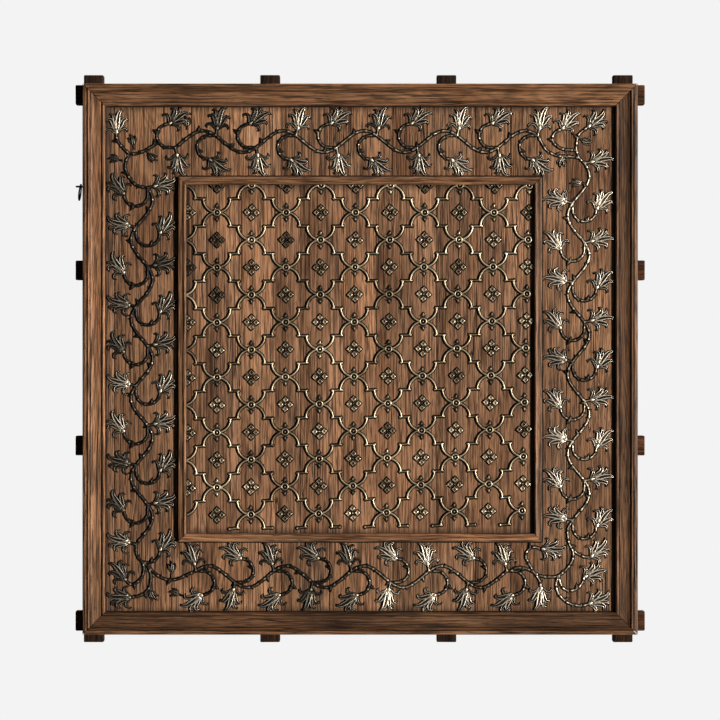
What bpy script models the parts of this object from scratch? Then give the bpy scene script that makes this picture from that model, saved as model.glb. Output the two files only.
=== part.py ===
# Boarded wooden panel with a moulded frame, applied metal relief and a grid of battens behind.
# Metres, +Z up. The front looks along -Y and the backs of the battens lie in the plane y = 0.
# Every shape is laid out from the panel's centre and then hung from the top batten's middle.
import math

import bmesh
import bpy

for old in list(bpy.data.objects):
    bpy.data.objects.remove(old)

# Clearance between pieces that touch, and the open seam between two boards
GAP = 0.0003
SEAM = 0.0009

# Outer frame: four mitred rails
PANEL_W = 1.600
PANEL_H = 1.588
RAIL_W = 0.065
RAIL_LIP = 0.012
RAIL_RISE = 0.012
STRIP_W = 0.0105
BEAD_W = 0.008
QUIRK = 0.0025
INNER_BEAD_W = 0.010
HOLLOW = 0.0045

# Boards behind, from left to right: the last one fills what is left
BOARD_T = 0.022
BOARD_WIDTHS = (0.079, 0.222, 0.258, 0.140, 0.182, 0.239, 0.101, 0.161)

# Centre frame: four mitred mouldings planted on the boards, with thin boards inside it
CENTRE_W = 1.048
CENTRE_H = 1.051
MOULD_W = 0.023
MOULD_RISE = 0.017
CREST_W = 0.007
CREST_ROUND = 0.001
CREST_FALL = 0.0025
FILLET_W = 0.002
HEEL = 0.005
COVE_RISE = 0.0036
INNER_T = 0.0055
INNER_WIDTHS = (0.057, 0.101, 0.098, 0.072, 0.124, 0.094, 0.174, 0.090)

# Battens: four upright and four level, halved into each other
BATTEN_W = 0.058
BATTEN_D = 0.045
UPRIGHT_INSET_LEFT = 0.0295
UPRIGHT_INSET_RIGHT = 0.0405
LEVEL_INSET_TOP = 0.030
LEVEL_INSET_BOTTOM = 0.037
BATTENS_EACH_WAY = 4
STAND_OUT_TOP = 0.028
STAND_OUT_BOTTOM = 0.025
STAND_OUT_LEFT = 0.0235
STAND_OUT_RIGHT = 0.0235

# Iron pin in the left rail and the ring that hangs on it
PIN_Z = 0.498
PIN_OVER_BACK = 0.0113
PIN_OUT = 0.021
PIN_IN = 0.010
PIN_R = 0.00275
PIN_CLEARANCE = 0.00036
RING_R = 0.0225
RING_WIRE = 0.0025
RING_OUT = 0.0086
RING_TURN = math.radians(12)
RING_LEAN = math.radians(6)
RING_REST = 0.0005

# Lattice of metal ribbon on the inner boards: rings joined by quarter arcs and level shoulders
LATTICE_PITCH_X = 0.0983
LATTICE_PITCH_Z = 0.0780
LATTICE_START_X = 0.0882
LATTICE_START_Z = 0.0800
LATTICE_SPREAD_TOP = 0.0135
LATTICE_SPREAD_BOTTOM = -0.0055
LATTICE_DROP_LEFT = 0.0135
LATTICE_DROP_RIGHT = 0.0010
RIBBON_W = 0.0066
RIBBON_H = 0.0040
RING_NODE_H = 0.0058
STEPS_A_QUARTER = 2

# Rosettes carved in one with the inner boards: four petals between four notches
ROSETTE_R = 0.0245
ROSETTE_WAIST = 0.0085
ROSETTE_H = 0.0040
ROSETTE_SUNK = 0.0010
ROSETTE_SLIVER = 0.0025

# Vine of cast metal round the border
VINE_MARGIN = 0.0015
STEM_H = 0.0045
FLOWER_H = 0.0062
STEPS_A_WAVE = 3
STEPS_A_CURL = 4

BACK_Y = -(BATTEN_D + GAP)
FACE_Y = BACK_Y - BOARD_T
INNER_FACE_Y = FACE_Y - GAP - INNER_T
HALF_W = PANEL_W / 2
HALF_H = PANEL_H / 2
FIELD_HALF_W = CENTRE_W / 2 - MOULD_W
FIELD_HALF_H = CENTRE_H / 2 - MOULD_W
HANG_Z = HALF_H - LEVEL_INSET_TOP


def material(name, colour, roughness, metallic=0.0):
    made = bpy.data.materials.new(name)
    made.use_nodes = True
    shader = made.node_tree.nodes["Principled BSDF"]
    shader.inputs["Base Color"].default_value = (*colour, 1.0)
    shader.inputs["Roughness"].default_value = roughness
    shader.inputs["Metallic"].default_value = metallic
    return made


RAIL_WOOD = (0.105, 0.052, 0.026)
BOARD_WOOD = (0.125, 0.062, 0.031)
BATTEN_WOOD = (0.040, 0.021, 0.012)
TARNISHED = (0.300, 0.250, 0.180)
IRON = (0.020, 0.019, 0.018)


def add_object(name, bm, look, guide=False):
    """Makes an object of the mesh, hung so that the top batten's middle is at the origin."""
    bmesh.ops.recalc_face_normals(bm, faces=bm.faces)
    mesh = bpy.data.meshes.new(name)
    bm.to_mesh(mesh)
    bm.free()
    made = bpy.data.objects.new(name, mesh)
    made.location = (0.0, 0.0, -HANG_Z)
    bpy.context.collection.objects.link(made)
    if guide:
        made.hide_render = True
        made.display_type = "WIRE"
    else:
        made.data.materials.append(material(name, *look))
    return made


def boolean(target, tool, operation):
    step = target.modifiers.new(operation.title() + " " + tool.name, "BOOLEAN")
    step.operation = operation
    step.solver = "EXACT"
    step.object = tool


def add_loft(bm, rings, closed=False):
    """Skins matching rings of points; an open row is capped at both ends."""
    made = [[bm.verts.new(p) for p in ring] for ring in rings]
    count = len(made[0])
    pairs = list(zip(made, made[1:]))
    if closed:
        pairs.append((made[-1], made[0]))
    for one, two in pairs:
        for i in range(count):
            j = (i + 1) % count
            bm.faces.new((one[i], one[j], two[j], two[i]))
    if not closed:
        bm.faces.new(made[0])
        bm.faces.new(made[-1])


def add_box(bm, x0, x1, y0, y1, z0, z1):
    foot = [(x0, y0, z0), (x1, y0, z0), (x1, y1, z0), (x0, y1, z0)]
    add_loft(bm, [foot, [(x, y, z1) for x, y, z in foot]])


def box(name, extent, look, guide=False):
    bm = bmesh.new()
    add_box(bm, *extent)
    return add_object(name, bm, look, guide)


# Battens with a half-lap at every crossing
def batten_lines(first, last):
    return [first + (last - first) * i / (BATTENS_EACH_WAY - 1) for i in range(BATTENS_EACH_WAY)]


UPRIGHTS = batten_lines(-HALF_W + UPRIGHT_INSET_LEFT, HALF_W - UPRIGHT_INSET_RIGHT)
LEVELS = batten_lines(-HALF_H + LEVEL_INSET_BOTTOM, HALF_H - LEVEL_INSET_TOP)


def batten_outline(start, stop, crossings, notched_face, whole_face):
    """The side view of a batten: along its length, and from its notched face to its whole one."""
    inward = 1 if whole_face > notched_face else -1
    floor = notched_face + inward * (BATTEN_D + GAP) / 2
    reach = BATTEN_W / 2 + GAP
    outline = [(start, whole_face), (start, notched_face)]
    for at in crossings:
        outline += [(at - reach, notched_face), (at - reach, floor)]
        outline += [(at + reach, floor), (at + reach, notched_face)]
    return outline + [(stop, notched_face), (stop, whole_face)]


for number, x in enumerate(UPRIGHTS, 1):
    outline = batten_outline(-HALF_H - STAND_OUT_BOTTOM, HALF_H + STAND_OUT_TOP, LEVELS, 0.0, -BATTEN_D)
    bm = bmesh.new()
    add_loft(bm, [[(x + side * BATTEN_W / 2, y, z) for z, y in outline] for side in (-1, 1)])
    add_object(f"batten_upright_{number}", bm, (BATTEN_WOOD, 0.8))

for number, z in enumerate(reversed(LEVELS), 1):
    outline = batten_outline(-HALF_W - STAND_OUT_LEFT, HALF_W + STAND_OUT_RIGHT, UPRIGHTS, -BATTEN_D, 0.0)
    bm = bmesh.new()
    add_loft(bm, [[(x, y, z + side * BATTEN_W / 2) for x, y in outline] for side in (-1, 1)])
    add_object(f"batten_level_{number}", bm, (BATTEN_WOOD, 0.8))


# Boards behind, all running up
def board_edges(left, right, widths):
    """Left and right edge of each board, with half a seam taken off where two meet."""
    joints = [left]
    for width in widths:
        joints.append(joints[-1] + width)
    joints.append(right)
    last = len(joints) - 2
    return [
        (joints[i] + (SEAM / 2 if i else 0.0), joints[i + 1] - (SEAM / 2 if i < last else 0.0))
        for i in range(last + 1)
    ]


BOARDS_HALF_W = HALF_W - RAIL_LIP - GAP
BOARDS_HALF_H = HALF_H - RAIL_LIP - GAP
for number, (x0, x1) in enumerate(board_edges(-BOARDS_HALF_W, BOARDS_HALF_W, BOARD_WIDTHS), 1):
    box(f"board_{number}", (x0, x1, FACE_Y, BACK_Y, -BOARDS_HALF_H, BOARDS_HALF_H), (BOARD_WOOD, 0.6))


# Mitred rails and mouldings from one profile: distance in from the outer edge, height over the back
SIDES = {
    "top": ((1, 0), (0, 1)),
    "right": ((0, -1), (1, 0)),
    "bottom": ((-1, 0), (0, -1)),
    "left": ((0, 1), (-1, 0)),
}
MITRE_GAP = GAP / math.sqrt(2)


def mitred_rail(name, side, half_w, half_h, profile, back_y, look):
    along, out = SIDES[side]
    half_out, half_run = (half_h, half_w) if out[0] == 0 else (half_w, half_h)
    rings = []
    for end in (-1, 1):
        ring = []
        for inward, height in profile:
            run = end * (half_run - inward - MITRE_GAP)
            off = half_out - inward
            ring.append((along[0] * run + out[0] * off, back_y - height, along[1] * run + out[1] * off))
        rings.append(ring)
    bm = bmesh.new()
    add_loft(bm, rings)
    return add_object(name, bm, look)


RAIL_TOP = BOARD_T + RAIL_RISE
SEAT = BOARD_T + GAP
SHOULDER = RAIL_TOP - QUIRK
HOLLOW_START = STRIP_W + BEAD_W + 2 * QUIRK
HOLLOW_END = RAIL_W - INNER_BEAD_W - QUIRK
HOLLOW_MID = (HOLLOW_START + HOLLOW_END) / 2


def bead(start, width, foot, top):
    """A round bead in a few flats between two points of the same height."""
    quarter = width / 4
    return [(start, foot), (start + quarter, top), (start + 3 * quarter, top), (start + width, foot)]


RAIL_PROFILE = [(0.0, 0.0), (0.0, SHOULDER), (STRIP_W, SHOULDER), (STRIP_W + QUIRK / 2, SHOULDER - QUIRK)]
RAIL_PROFILE += bead(STRIP_W + QUIRK, BEAD_W, SHOULDER, RAIL_TOP)
RAIL_PROFILE += [(HOLLOW_START, SHOULDER + QUIRK / 2), (HOLLOW_MID, RAIL_TOP - HOLLOW)]
RAIL_PROFILE += [(HOLLOW_END, SHOULDER + QUIRK / 2), (HOLLOW_END + QUIRK / 2, SHOULDER)]
RAIL_PROFILE += bead(RAIL_W - INNER_BEAD_W, INNER_BEAD_W, SHOULDER, RAIL_TOP - QUIRK / 4)
RAIL_PROFILE += [(RAIL_W, SEAT), (RAIL_LIP, SEAT), (RAIL_LIP, 0.0)]
for side in SIDES:
    rail = mitred_rail(f"frame_{side}", side, HALF_W, HALF_H, RAIL_PROFILE, BACK_Y, (RAIL_WOOD, 0.6))
    if side == "left":
        left_rail = rail

# The centre moulding: a hollow rising from the border, a flat crest, and a straight drop inside
COVE_W = MOULD_W - CREST_W - FILLET_W
MOULD_PROFILE = [
    (0.0, 0.0),
    (0.0, HEEL),
    (FILLET_W, HEEL + CREST_ROUND),
    (COVE_W / 2, HEEL + COVE_RISE),
    (COVE_W - CREST_ROUND, MOULD_RISE - CREST_ROUND - FILLET_W),
    (COVE_W, MOULD_RISE - CREST_ROUND),
    (COVE_W + CREST_W / 4, MOULD_RISE),
    (COVE_W + CREST_W * 3 / 4, MOULD_RISE),
    (MOULD_W, MOULD_RISE - CREST_FALL),
    (MOULD_W, 0.0),
]
MOULD_Y = FACE_Y - GAP
for side in SIDES:
    look = (RAIL_WOOD, 0.55)
    mitred_rail(f"centre_moulding_{side}", side, CENTRE_W / 2, CENTRE_H / 2, MOULD_PROFILE, MOULD_Y, look)


# Relief drawn in the panel's plane as (x, z) and standing forward of a face
def arc(centre, radius, start, stop, steps):
    angles = [start + (stop - start) * i / steps for i in range(steps + 1)]
    return [(centre[0] + radius * math.cos(a), centre[1] + radius * math.sin(a)) for a in angles]


def add_facets(bm, outline, apex, height, face_y, depth):
    """A low pyramid on any outline, with its foot a little under the face."""
    foot = [bm.verts.new((x, face_y + depth, z)) for x, z in outline]
    top = bm.verts.new((apex[0], face_y - height, apex[1]))
    bm.faces.new(foot)
    for i, vert in enumerate(foot):
        bm.faces.new((vert, foot[(i + 1) % len(foot)], top))


class Network:
    """One body of ridged ribbon. Strokes that share a point are joined there with mitred corners."""

    def __init__(self, width, height, face_y):
        self.width, self.height, self.face_y = width, height, face_y
        self.arms, self.raised, self.points, self.flowers = {}, {}, set(), {}

    def key(self, point):
        return round(point[0], 6), round(point[1], 6)

    def stroke(self, points):
        keys = [self.key(p) for p in points]
        for one, two in zip(keys, keys[1:]):
            self.arms.setdefault(one, set()).add(two)
            self.arms.setdefault(two, set()).add(one)

    def nearest(self, point):
        """The point already on the network that is closest, for a stroke that joins it."""
        return min(self.arms, key=lambda k: math.dist(k, point))

    def vert(self, bm, point, height=0.0):
        return bm.verts.new((point[0], self.face_y - height, point[1]))

    def corners(self, bm, node):
        """The foot points between neighbouring arms, filed by the arm on each side of them."""
        half = self.width / 2
        bearing = {n: math.atan2(n[1] - node[1], n[0] - node[0]) for n in self.arms[node]}
        near = sorted(bearing, key=bearing.get)
        if len(near) == 1:
            if node in self.points:
                self.left[node, near[0]] = self.right[node, near[0]] = self.crest[node]
                return
            for turn, side in ((math.pi / 2, self.left), (-math.pi / 2, self.right)):
                angle = bearing[near[0]] + turn
                foot = (node[0] + half * math.cos(angle), node[1] + half * math.sin(angle))
                side[node, near[0]] = self.vert(bm, foot)
            return
        made = []
        for i, arm in enumerate(near):
            following = near[(i + 1) % len(near)]
            between = (bearing[following] - bearing[arm]) % (2 * math.pi)
            angle = bearing[arm] + between / 2
            reach = half / math.sin(between / 2)
            foot = self.vert(bm, (node[0] + reach * math.cos(angle), node[1] + reach * math.sin(angle)))
            self.left[node, arm] = self.right[node, following] = foot
            made.append(foot)
        if len(near) > 2:
            bm.faces.new(made)

    def face(self, bm, *verts):
        whole = list(dict.fromkeys(verts))
        if len(whole) > 2:
            bm.faces.new(whole)

    def build(self):
        bm = bmesh.new()
        self.left, self.right = {}, {}
        self.crest = {
            node: self.vert(bm, node, 0.0 if node in self.points else self.raised.get(node, self.height))
            for node in self.arms
        }
        for node in self.arms:
            self.corners(bm, node)
        for one, near in self.arms.items():
            for two in near:
                if one < two:
                    here, there = (one, two), (two, one)
                    self.face(bm, self.crest[one], self.left[here], self.right[there], self.crest[two])
                    self.face(bm, self.crest[one], self.crest[two], self.left[there], self.right[here])
                    self.face(bm, self.right[here], self.left[there], self.right[there], self.left[here])
            if len(near) == 1 and one not in self.points:
                arm = (one, next(iter(near)))
                if one in self.flowers:
                    self.flower(bm, one, self.left[arm], self.right[arm], self.flowers[one])
                else:
                    self.face(bm, self.left[arm], self.crest[one], self.right[arm])
        return bm

    def flower(self, bm, base, right_foot, left_foot, heading):
        """A flower from the side, on the end of a ribbon: two sepals bent out and three petals."""
        cos, sin = math.cos(heading) * FLOWER_L, math.sin(heading) * FLOWER_L

        def place(along, across):
            return base[0] + along * cos - across * sin, base[1] + along * sin + across * cos

        outline = [place(a, -c) for a, c in FLOWER_HALF] + [place(1.0, 0.0)]
        outline += [place(a, c) for a, c in reversed(FLOWER_HALF)]
        edge = [right_foot] + [self.vert(bm, p) for p in outline] + [left_foot]
        top = self.vert(bm, place(FLOWER_CREST, 0.0), FLOWER_H)
        bm.faces.new(edge)
        for one, two in zip([self.crest[base]] + edge, edge + [self.crest[base]]):
            bm.faces.new((one, two, top))


# The lattice is drawn past the field's left and top edges and cut back to them. On the right it ends
# in rings, and at the bottom in feet. It was laid by hand, so its rows spread and drop a little.
LATTICE_R = LATTICE_PITCH_Z / 2
LATTICE_Y = INNER_FACE_Y - GAP
LAST_COLUMN = math.floor((2 * FIELD_HALF_W - LATTICE_START_X) / LATTICE_PITCH_X)
LAST_ROW = math.floor((2 * FIELD_HALF_H - LATTICE_START_Z) / LATTICE_PITCH_Z)


def lattice_point(column, row):
    right, down = column / LAST_COLUMN, row / LAST_ROW
    spread = right * (LATTICE_SPREAD_TOP * (1 - down) + LATTICE_SPREAD_BOTTOM * down)
    drop = down * (LATTICE_DROP_LEFT * (1 - right) + LATTICE_DROP_RIGHT * right)
    x = -FIELD_HALF_W + LATTICE_START_X + LATTICE_PITCH_X * column + spread
    z = FIELD_HALF_H - LATTICE_START_Z - LATTICE_PITCH_Z * row - drop
    return x, z


def in_field(x, z):
    return abs(x) < FIELD_HALF_W and abs(z) < FIELD_HALF_H


def quarter(x, z, across, up):
    """From a ring outwards: level at first, then turning up or down to the shoulder."""
    turns = [math.pi / 2 * i / STEPS_A_QUARTER for i in range(STEPS_A_QUARTER + 1)]
    return [(x + across * LATTICE_R * math.sin(t), z + up * LATTICE_R * (1 - math.cos(t))) for t in turns]


def lattice_stroke(column, row, up):
    """From a ring to the next one on the right. Under the last row only the shoulder is left, as a foot."""
    near, far = lattice_point(column, row), lattice_point(column + 1, row - up)
    first, second = quarter(*near, 1, up), quarter(*far, -1, -up)[::-1]
    if row > LAST_ROW:
        first = first[-1:]
    if row - up > LAST_ROW:
        second = second[:1]
    return first + second if in_field(*near) or in_field(*far) else []


net = Network(RIBBON_W, RIBBON_H, LATTICE_Y)
for row in range(-1, LAST_ROW + 2):
    for column in range(-1 if row % 2 else 0, LAST_COLUMN + 1, 2):
        for up in (1, -1):
            if column < LAST_COLUMN and min(row, row - up) <= LAST_ROW:
                net.stroke(lattice_stroke(column, row, up))
        x, z = lattice_point(column, row)
        if row <= LAST_ROW and in_field(x, z):
            net.raised[net.key((x, z))] = RING_NODE_H
lattice = add_object("lattice", net.build(), (TARNISHED, 0.45, 0.85))
TRIM_D = 0.02
FIELD_EXTENT = (-FIELD_HALF_H + GAP, FIELD_HALF_H - GAP)
edge = (-FIELD_HALF_W + GAP, FIELD_HALF_W - GAP, LATTICE_Y - TRIM_D, LATTICE_Y + TRIM_D, *FIELD_EXTENT)
boolean(lattice, box("guide_lattice_edge", edge, None, guide=True), "INTERSECT")


# Inner boards, each in one piece with the rosettes that stand on it
def rosette_outline(x, z):
    points = []
    for i in range(4):
        tip = i * math.pi / 2
        notch = tip + math.pi / 4
        points.append((x + ROSETTE_R * math.cos(tip), z + ROSETTE_R * math.sin(tip)))
        points.append((x + ROSETTE_WAIST * math.cos(notch), z + ROSETTE_WAIST * math.sin(notch)))
    return points


# A board whose edge only just meets a petal's tip leaves that tip to its neighbour
ROSETTE_BITE = ROSETTE_R - ROSETTE_SLIVER
inner_edges = board_edges(-FIELD_HALF_W + GAP, FIELD_HALF_W - GAP, INNER_WIDTHS)
for number, (x0, x1) in enumerate(inner_edges, 1):
    extent = (x0, x1, INNER_FACE_Y, FACE_Y - GAP, *FIELD_EXTENT)
    board = box(f"inner_board_{number}", extent, (BOARD_WOOD, 0.6))
    petals = bmesh.new()
    for row in range(-1, LAST_ROW + 1):
        for column in range(0 if row % 2 else -1, LAST_COLUMN + 1, 2):
            x, z = lattice_point(column, row)
            if x0 - ROSETTE_BITE < x < x1 + ROSETTE_BITE:
                add_facets(petals, rosette_outline(x, z), (x, z), ROSETTE_H, INNER_FACE_Y, ROSETTE_SUNK)
    if petals.verts:
        boolean(board, add_object(f"guide_rosettes_{number}", petals, None, guide=True), "UNION")
        edge = (x0, x1, INNER_FACE_Y - TRIM_D, FACE_Y + TRIM_D, *FIELD_EXTENT)
        boolean(board, box(f"guide_board_{number}", edge, None, guide=True), "INTERSECT")
    else:
        petals.free()

# The vine: one half unit, turned over at every step along each band. Shares of the band's half width.
BAND_X = (HALF_W - RAIL_W + CENTRE_W / 2) / 2
BAND_Z = (HALF_H - RAIL_W + CENTRE_H / 2) / 2
VINE_HALF = min(HALF_W - RAIL_W - CENTRE_W / 2, HALF_H - RAIL_W - CENTRE_H / 2) / 2 - VINE_MARGIN
STEM_W = 0.066 * VINE_HALF
UNIT = 1.14 * VINE_HALF
WAVE = 0.31 * VINE_HALF
LEAD = 0.36 * VINE_HALF
CURL_R = 0.34 * VINE_HALF
CURL_BACK = 0.19 * VINE_HALF
CURL_DROP = 0.34 * VINE_HALF
CURL_START = math.radians(100)
CURL_STOP = math.radians(272)
STALK = 0.18 * VINE_HALF
STALK_LEAN = math.radians(77)
TIP_LEAN = math.radians(-36)
FLOWER_L = 0.64 * VINE_HALF

# Half of a flower's outline from its foot, as shares of its length along it and across it
FLOWER_HALF = ((0.18, 0.40), (0.40, 0.18), (0.80, 0.31), (0.64, 0.09))
FLOWER_CREST = 0.42


class Band:
    """One side of the border: where it lies, which way the vine grows, and its row of joints."""

    def __init__(self, off, span, grow, out, first, last, odd, first_side):
        self.off, self.grow, self.out, self.first_side = off, grow, out, first_side
        length = 2 * span - (first + last) * VINE_HALF
        steps = odd + 2 * round((length / UNIT - odd) / 2)
        self.start = -span + first * VINE_HALF
        self.pitch = length / steps
        self.count = steps + 1

    def place(self, run, rise):
        off = self.off + rise
        return self.grow[0] * run + self.out[0] * off, self.grow[1] * run + self.out[1] * off

    def heading(self, angle):
        """An angle from the growing direction towards the outside, as an angle in the panel."""
        cos, sin = math.cos(angle), math.sin(angle)
        return math.atan2(self.grow[1] * cos + self.out[1] * sin, self.grow[0] * cos + self.out[0] * sin)

    def wave(self, run):
        return self.first_side * WAVE * math.cos(math.pi * (run - self.start + LEAD) / self.pitch)

    def joint(self, number):
        run = self.start + self.pitch * (number % self.count)
        return run, self.wave(run)


# Joints are counted in the growing direction. First and last are how far they stand from the corners,
# and as many whole units as fit lie between them: an odd number of them, or an even one on the bottom.
BANDS = {
    "top": Band(BAND_Z, BAND_X, (1, 0), (0, 1), 0.96, 1.17, 1, -1),
    "right": Band(BAND_X, BAND_Z, (0, 1), (1, 0), 1.62, 0.63, 1, -1),
    "bottom": Band(BAND_Z, BAND_X, (-1, 0), (0, -1), 2.06, 1.56, 0, -1),
    "left": Band(BAND_X, BAND_Z, (0, 1), (-1, 0), 0.93, 1.33, 1, 1),
}
CURLLESS = ("right", BANDS["right"].count - 1)


def lay_band(net, name, band):
    steps = (band.count - 1) * STEPS_A_WAVE
    runs = [band.start + band.pitch * (i / STEPS_A_WAVE) for i in range(steps + 1)]
    net.stroke([band.place(run, band.wave(run)) for run in runs])
    for number in range(band.count):
        side = band.first_side * (-1) ** number
        run, rise = band.joint(number)
        lean = side * STALK_LEAN
        foot = band.place(run + STALK * math.cos(lean), rise + STALK * math.sin(lean))
        net.stroke([band.place(run, rise), foot])
        net.flowers[net.key(foot)] = band.heading(lean)
        if (name, number) == CURLLESS:
            continue
        circle = arc((0.0, 0.0), CURL_R, CURL_START, CURL_STOP, STEPS_A_CURL)
        curl = [(run - CURL_BACK + along, rise + side * (across - CURL_DROP)) for along, across in circle]
        places = [band.place(*p) for p in [(run, rise)] + curl]
        net.stroke(places)
        net.flowers[net.key(places[-1])] = band.heading(side * TIP_LEAN)


# Stems round the corners, as shares from the crossing of the bands' middle lines. Each row has the joint
# that the stem starts from, or None, then its points, the heading of the flower on its end, and which of
# its points, the first or the last, is moved onto the nearest stem.
CORNERS = {
    (-1, 1): [
        (
            ("left", -1),
            [(-0.13, -1.27), (-0.32, -1.10), (-0.46, -0.83), (-0.47, -0.61), (-0.38, -0.36)]
            + [(-0.54, -0.19), (-0.71, 0.05), (-0.73, 0.24)],
            85,
            None,
        ),
        (None, [(-0.38, -0.36), (-0.18, -0.35), (0.04, -0.28), (0.30, -0.12)], None, -1),
    ],
    (1, 1): [
        (("right", -1), [(0.02, -0.47), (-0.06, -0.25), (-0.05, 0.00), (0.02, 0.22), (0.27, 0.42)], 37, None),
        (
            ("top", -1),
            [(-0.97, -0.19), (-0.81, -0.32), (-0.59, -0.42), (-0.34, -0.42), (0.02, -0.47)],
            None,
            None,
        ),
        (
            None,
            [(-0.06, -0.25), (-0.28, -0.24), (-0.50, -0.20), (-0.70, -0.06), (-0.75, 0.11)]
            + [(-0.67, 0.27), (-0.48, 0.36)],
            50,
            None,
        ),
    ],
    (1, -1): [
        (
            ("right", 0),
            [(-0.31, 1.39), (-0.31, 1.20), (-0.28, 0.98), (-0.20, 0.81), (-0.15, 0.65), (-0.20, 0.43)]
            + [(-0.34, 0.23), (-0.56, 0.04), (-0.83, -0.01), (-1.11, 0.03), (-1.28, 0.12), (-1.50, 0.23)]
            + [(-1.75, 0.26), (-1.96, 0.20)],
            None,
            -1,
        ),
        (None, [(-0.20, 0.81), (-0.04, 0.67), (0.18, 0.57), (0.35, 0.57)], 42, None),
        (
            None,
            [(-0.56, 0.04), (-0.52, -0.20), (-0.40, -0.36), (-0.22, -0.40), (-0.04, -0.34)]
            + [(0.10, -0.18), (0.16, -0.01)],
            22,
            None,
        ),
        (
            None,
            [(-0.56, 0.04), (-0.65, -0.22), (-0.58, -0.48), (-0.42, -0.67), (-0.23, -0.78)]
            + [(0.05, -0.84), (0.30, -0.78)],
            22,
            None,
        ),
        (None, [(-1.28, 0.12), (-1.14, -0.08), (-1.08, -0.30)], 262, None),
        (
            None,
            [(-1.28, 0.12), (-1.44, 0.40), (-1.52, 0.57), (-1.46, 0.76), (-1.30, 0.85), (-1.05, 0.80)],
            -3,
            None,
        ),
    ],
    (-1, -1): [
        (
            ("bottom", -1),
            [(1.28, 0.05), (1.05, -0.06), (0.80, -0.09), (0.57, -0.03), (0.37, 0.10), (0.18, 0.29)],
            None,
            None,
        ),
        (None, [(0.18, 0.29), (0.02, 0.52)], None, -1),
        (
            None,
            [(0.18, 0.29), (0.26, 0.02), (0.23, -0.27), (0.12, -0.43), (-0.10, -0.56), (-0.32, -0.59)],
            180,
            None,
        ),
        (
            None,
            [(0.02, 0.52), (0.06, 0.26), (0.01, 0.01), (-0.13, -0.15), (-0.32, -0.22), (-0.46, -0.10)],
            125,
            0,
        ),
    ],
}


def lay_corner(net, right, up, joint, shares, bloom, joins):
    points = [(right * BAND_X + VINE_HALF * x, up * BAND_Z + VINE_HALF * z) for x, z in shares]
    if joins is not None:
        points[joins] = net.nearest(points[joins])
    if joint:
        band = BANDS[joint[0]]
        points.insert(0, band.place(*band.joint(joint[1])))
    net.stroke(points)
    if bloom is not None:
        net.flowers[net.key(points[-1])] = math.radians(bloom)


net = Network(STEM_W, STEM_H, FACE_Y - GAP)
for name, band in BANDS.items():
    lay_band(net, name, band)
for (right, up), stems in CORNERS.items():
    for stem in stems:
        lay_corner(net, right, up, *stem)
add_object("vine_scroll", net.build(), (TARNISHED, 0.45, 0.85))

# The iron pin in the left rail, and the ring hanging on it
PIN_Y = BACK_Y - PIN_OVER_BACK
PIN_SIDES = 8
PIN_START = -HALF_W - PIN_OUT
PIN_STOP = -HALF_W + PIN_IN
HOLE_R = PIN_R + PIN_CLEARANCE


def round_bar(name, x0, x1, y, z, radius, look, guide=False):
    rings = []
    for x in (x0, x1):
        rings.append([(x, y + p, z + q) for p, q in arc((0, 0), radius, 0.0, 2 * math.pi, PIN_SIDES)[:-1]])
    bm = bmesh.new()
    add_loft(bm, rings)
    return add_object(name, bm, look, guide)


round_bar("iron_pin", PIN_START, PIN_STOP, PIN_Y, PIN_Z, PIN_R, (IRON, 0.6, 0.7))
pin_hole = round_bar("guide_pin_hole", PIN_START, PIN_STOP + GAP, PIN_Y, PIN_Z, HOLE_R, None, guide=True)
boolean(left_rail, pin_hole, "DIFFERENCE")


def turned(across, up, angle):
    cos, sin = math.cos(angle), math.sin(angle)
    return across * cos - up * sin, up * cos + across * sin


RING_STEPS = 16
WIRE_SIDES = 6
ring_z = PIN_Z + PIN_R + RING_REST + RING_WIRE - RING_R
rings = []
for i in range(RING_STEPS):
    around = 2 * math.pi * i / RING_STEPS
    ring = []
    for j in range(WIRE_SIDES):
        about = 2 * math.pi * j / WIRE_SIDES
        radius = RING_R + RING_WIRE * math.cos(about)
        x, y, z = RING_WIRE * math.sin(about), radius * math.sin(around), radius * math.cos(around)
        x, z = turned(x, z, -RING_LEAN)
        x, y = turned(x, y, RING_TURN)
        ring.append((-HALF_W - RING_OUT + x, PIN_Y + y, ring_z + z))
    rings.append(ring)
bm = bmesh.new()
add_loft(bm, rings, closed=True)
hanging_ring = add_object("iron_ring", bm, (IRON, 0.6, 0.7))
for face in hanging_ring.data.polygons:
    face.use_smooth = True
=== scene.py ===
import math
import random

import bmesh
import bpy
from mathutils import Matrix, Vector, noise


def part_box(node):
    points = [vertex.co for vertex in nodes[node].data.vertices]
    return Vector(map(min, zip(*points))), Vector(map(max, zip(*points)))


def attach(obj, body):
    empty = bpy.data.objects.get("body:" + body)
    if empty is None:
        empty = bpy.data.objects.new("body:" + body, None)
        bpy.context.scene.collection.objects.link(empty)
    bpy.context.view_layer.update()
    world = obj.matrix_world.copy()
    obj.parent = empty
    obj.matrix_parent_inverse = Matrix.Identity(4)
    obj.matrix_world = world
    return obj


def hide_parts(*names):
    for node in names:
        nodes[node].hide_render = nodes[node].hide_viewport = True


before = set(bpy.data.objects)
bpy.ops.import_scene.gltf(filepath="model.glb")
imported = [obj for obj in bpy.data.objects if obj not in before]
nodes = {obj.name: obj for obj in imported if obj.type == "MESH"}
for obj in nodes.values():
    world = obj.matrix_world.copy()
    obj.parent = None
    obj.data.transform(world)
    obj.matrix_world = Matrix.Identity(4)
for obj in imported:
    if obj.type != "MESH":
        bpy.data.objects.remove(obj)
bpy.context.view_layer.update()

# Battens
# Eight rough-sawn hardwood battens, four each way, halved into each other at every crossing.
# They carry the boards, stand out a little past the frame, and have gone nearly black with age.
BATTEN_EASE = 0.0035
BATTEN_WEAR = 0.0011
# The upright battens are toned darker than the level ones as painted shade on their ends
BATTEN_TONE_AND_SHADE = {"upright": -2.1, "level": 0.6}
BATTEN_COLOURS = ("#643b1e", "#44250f", "#130803")


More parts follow.
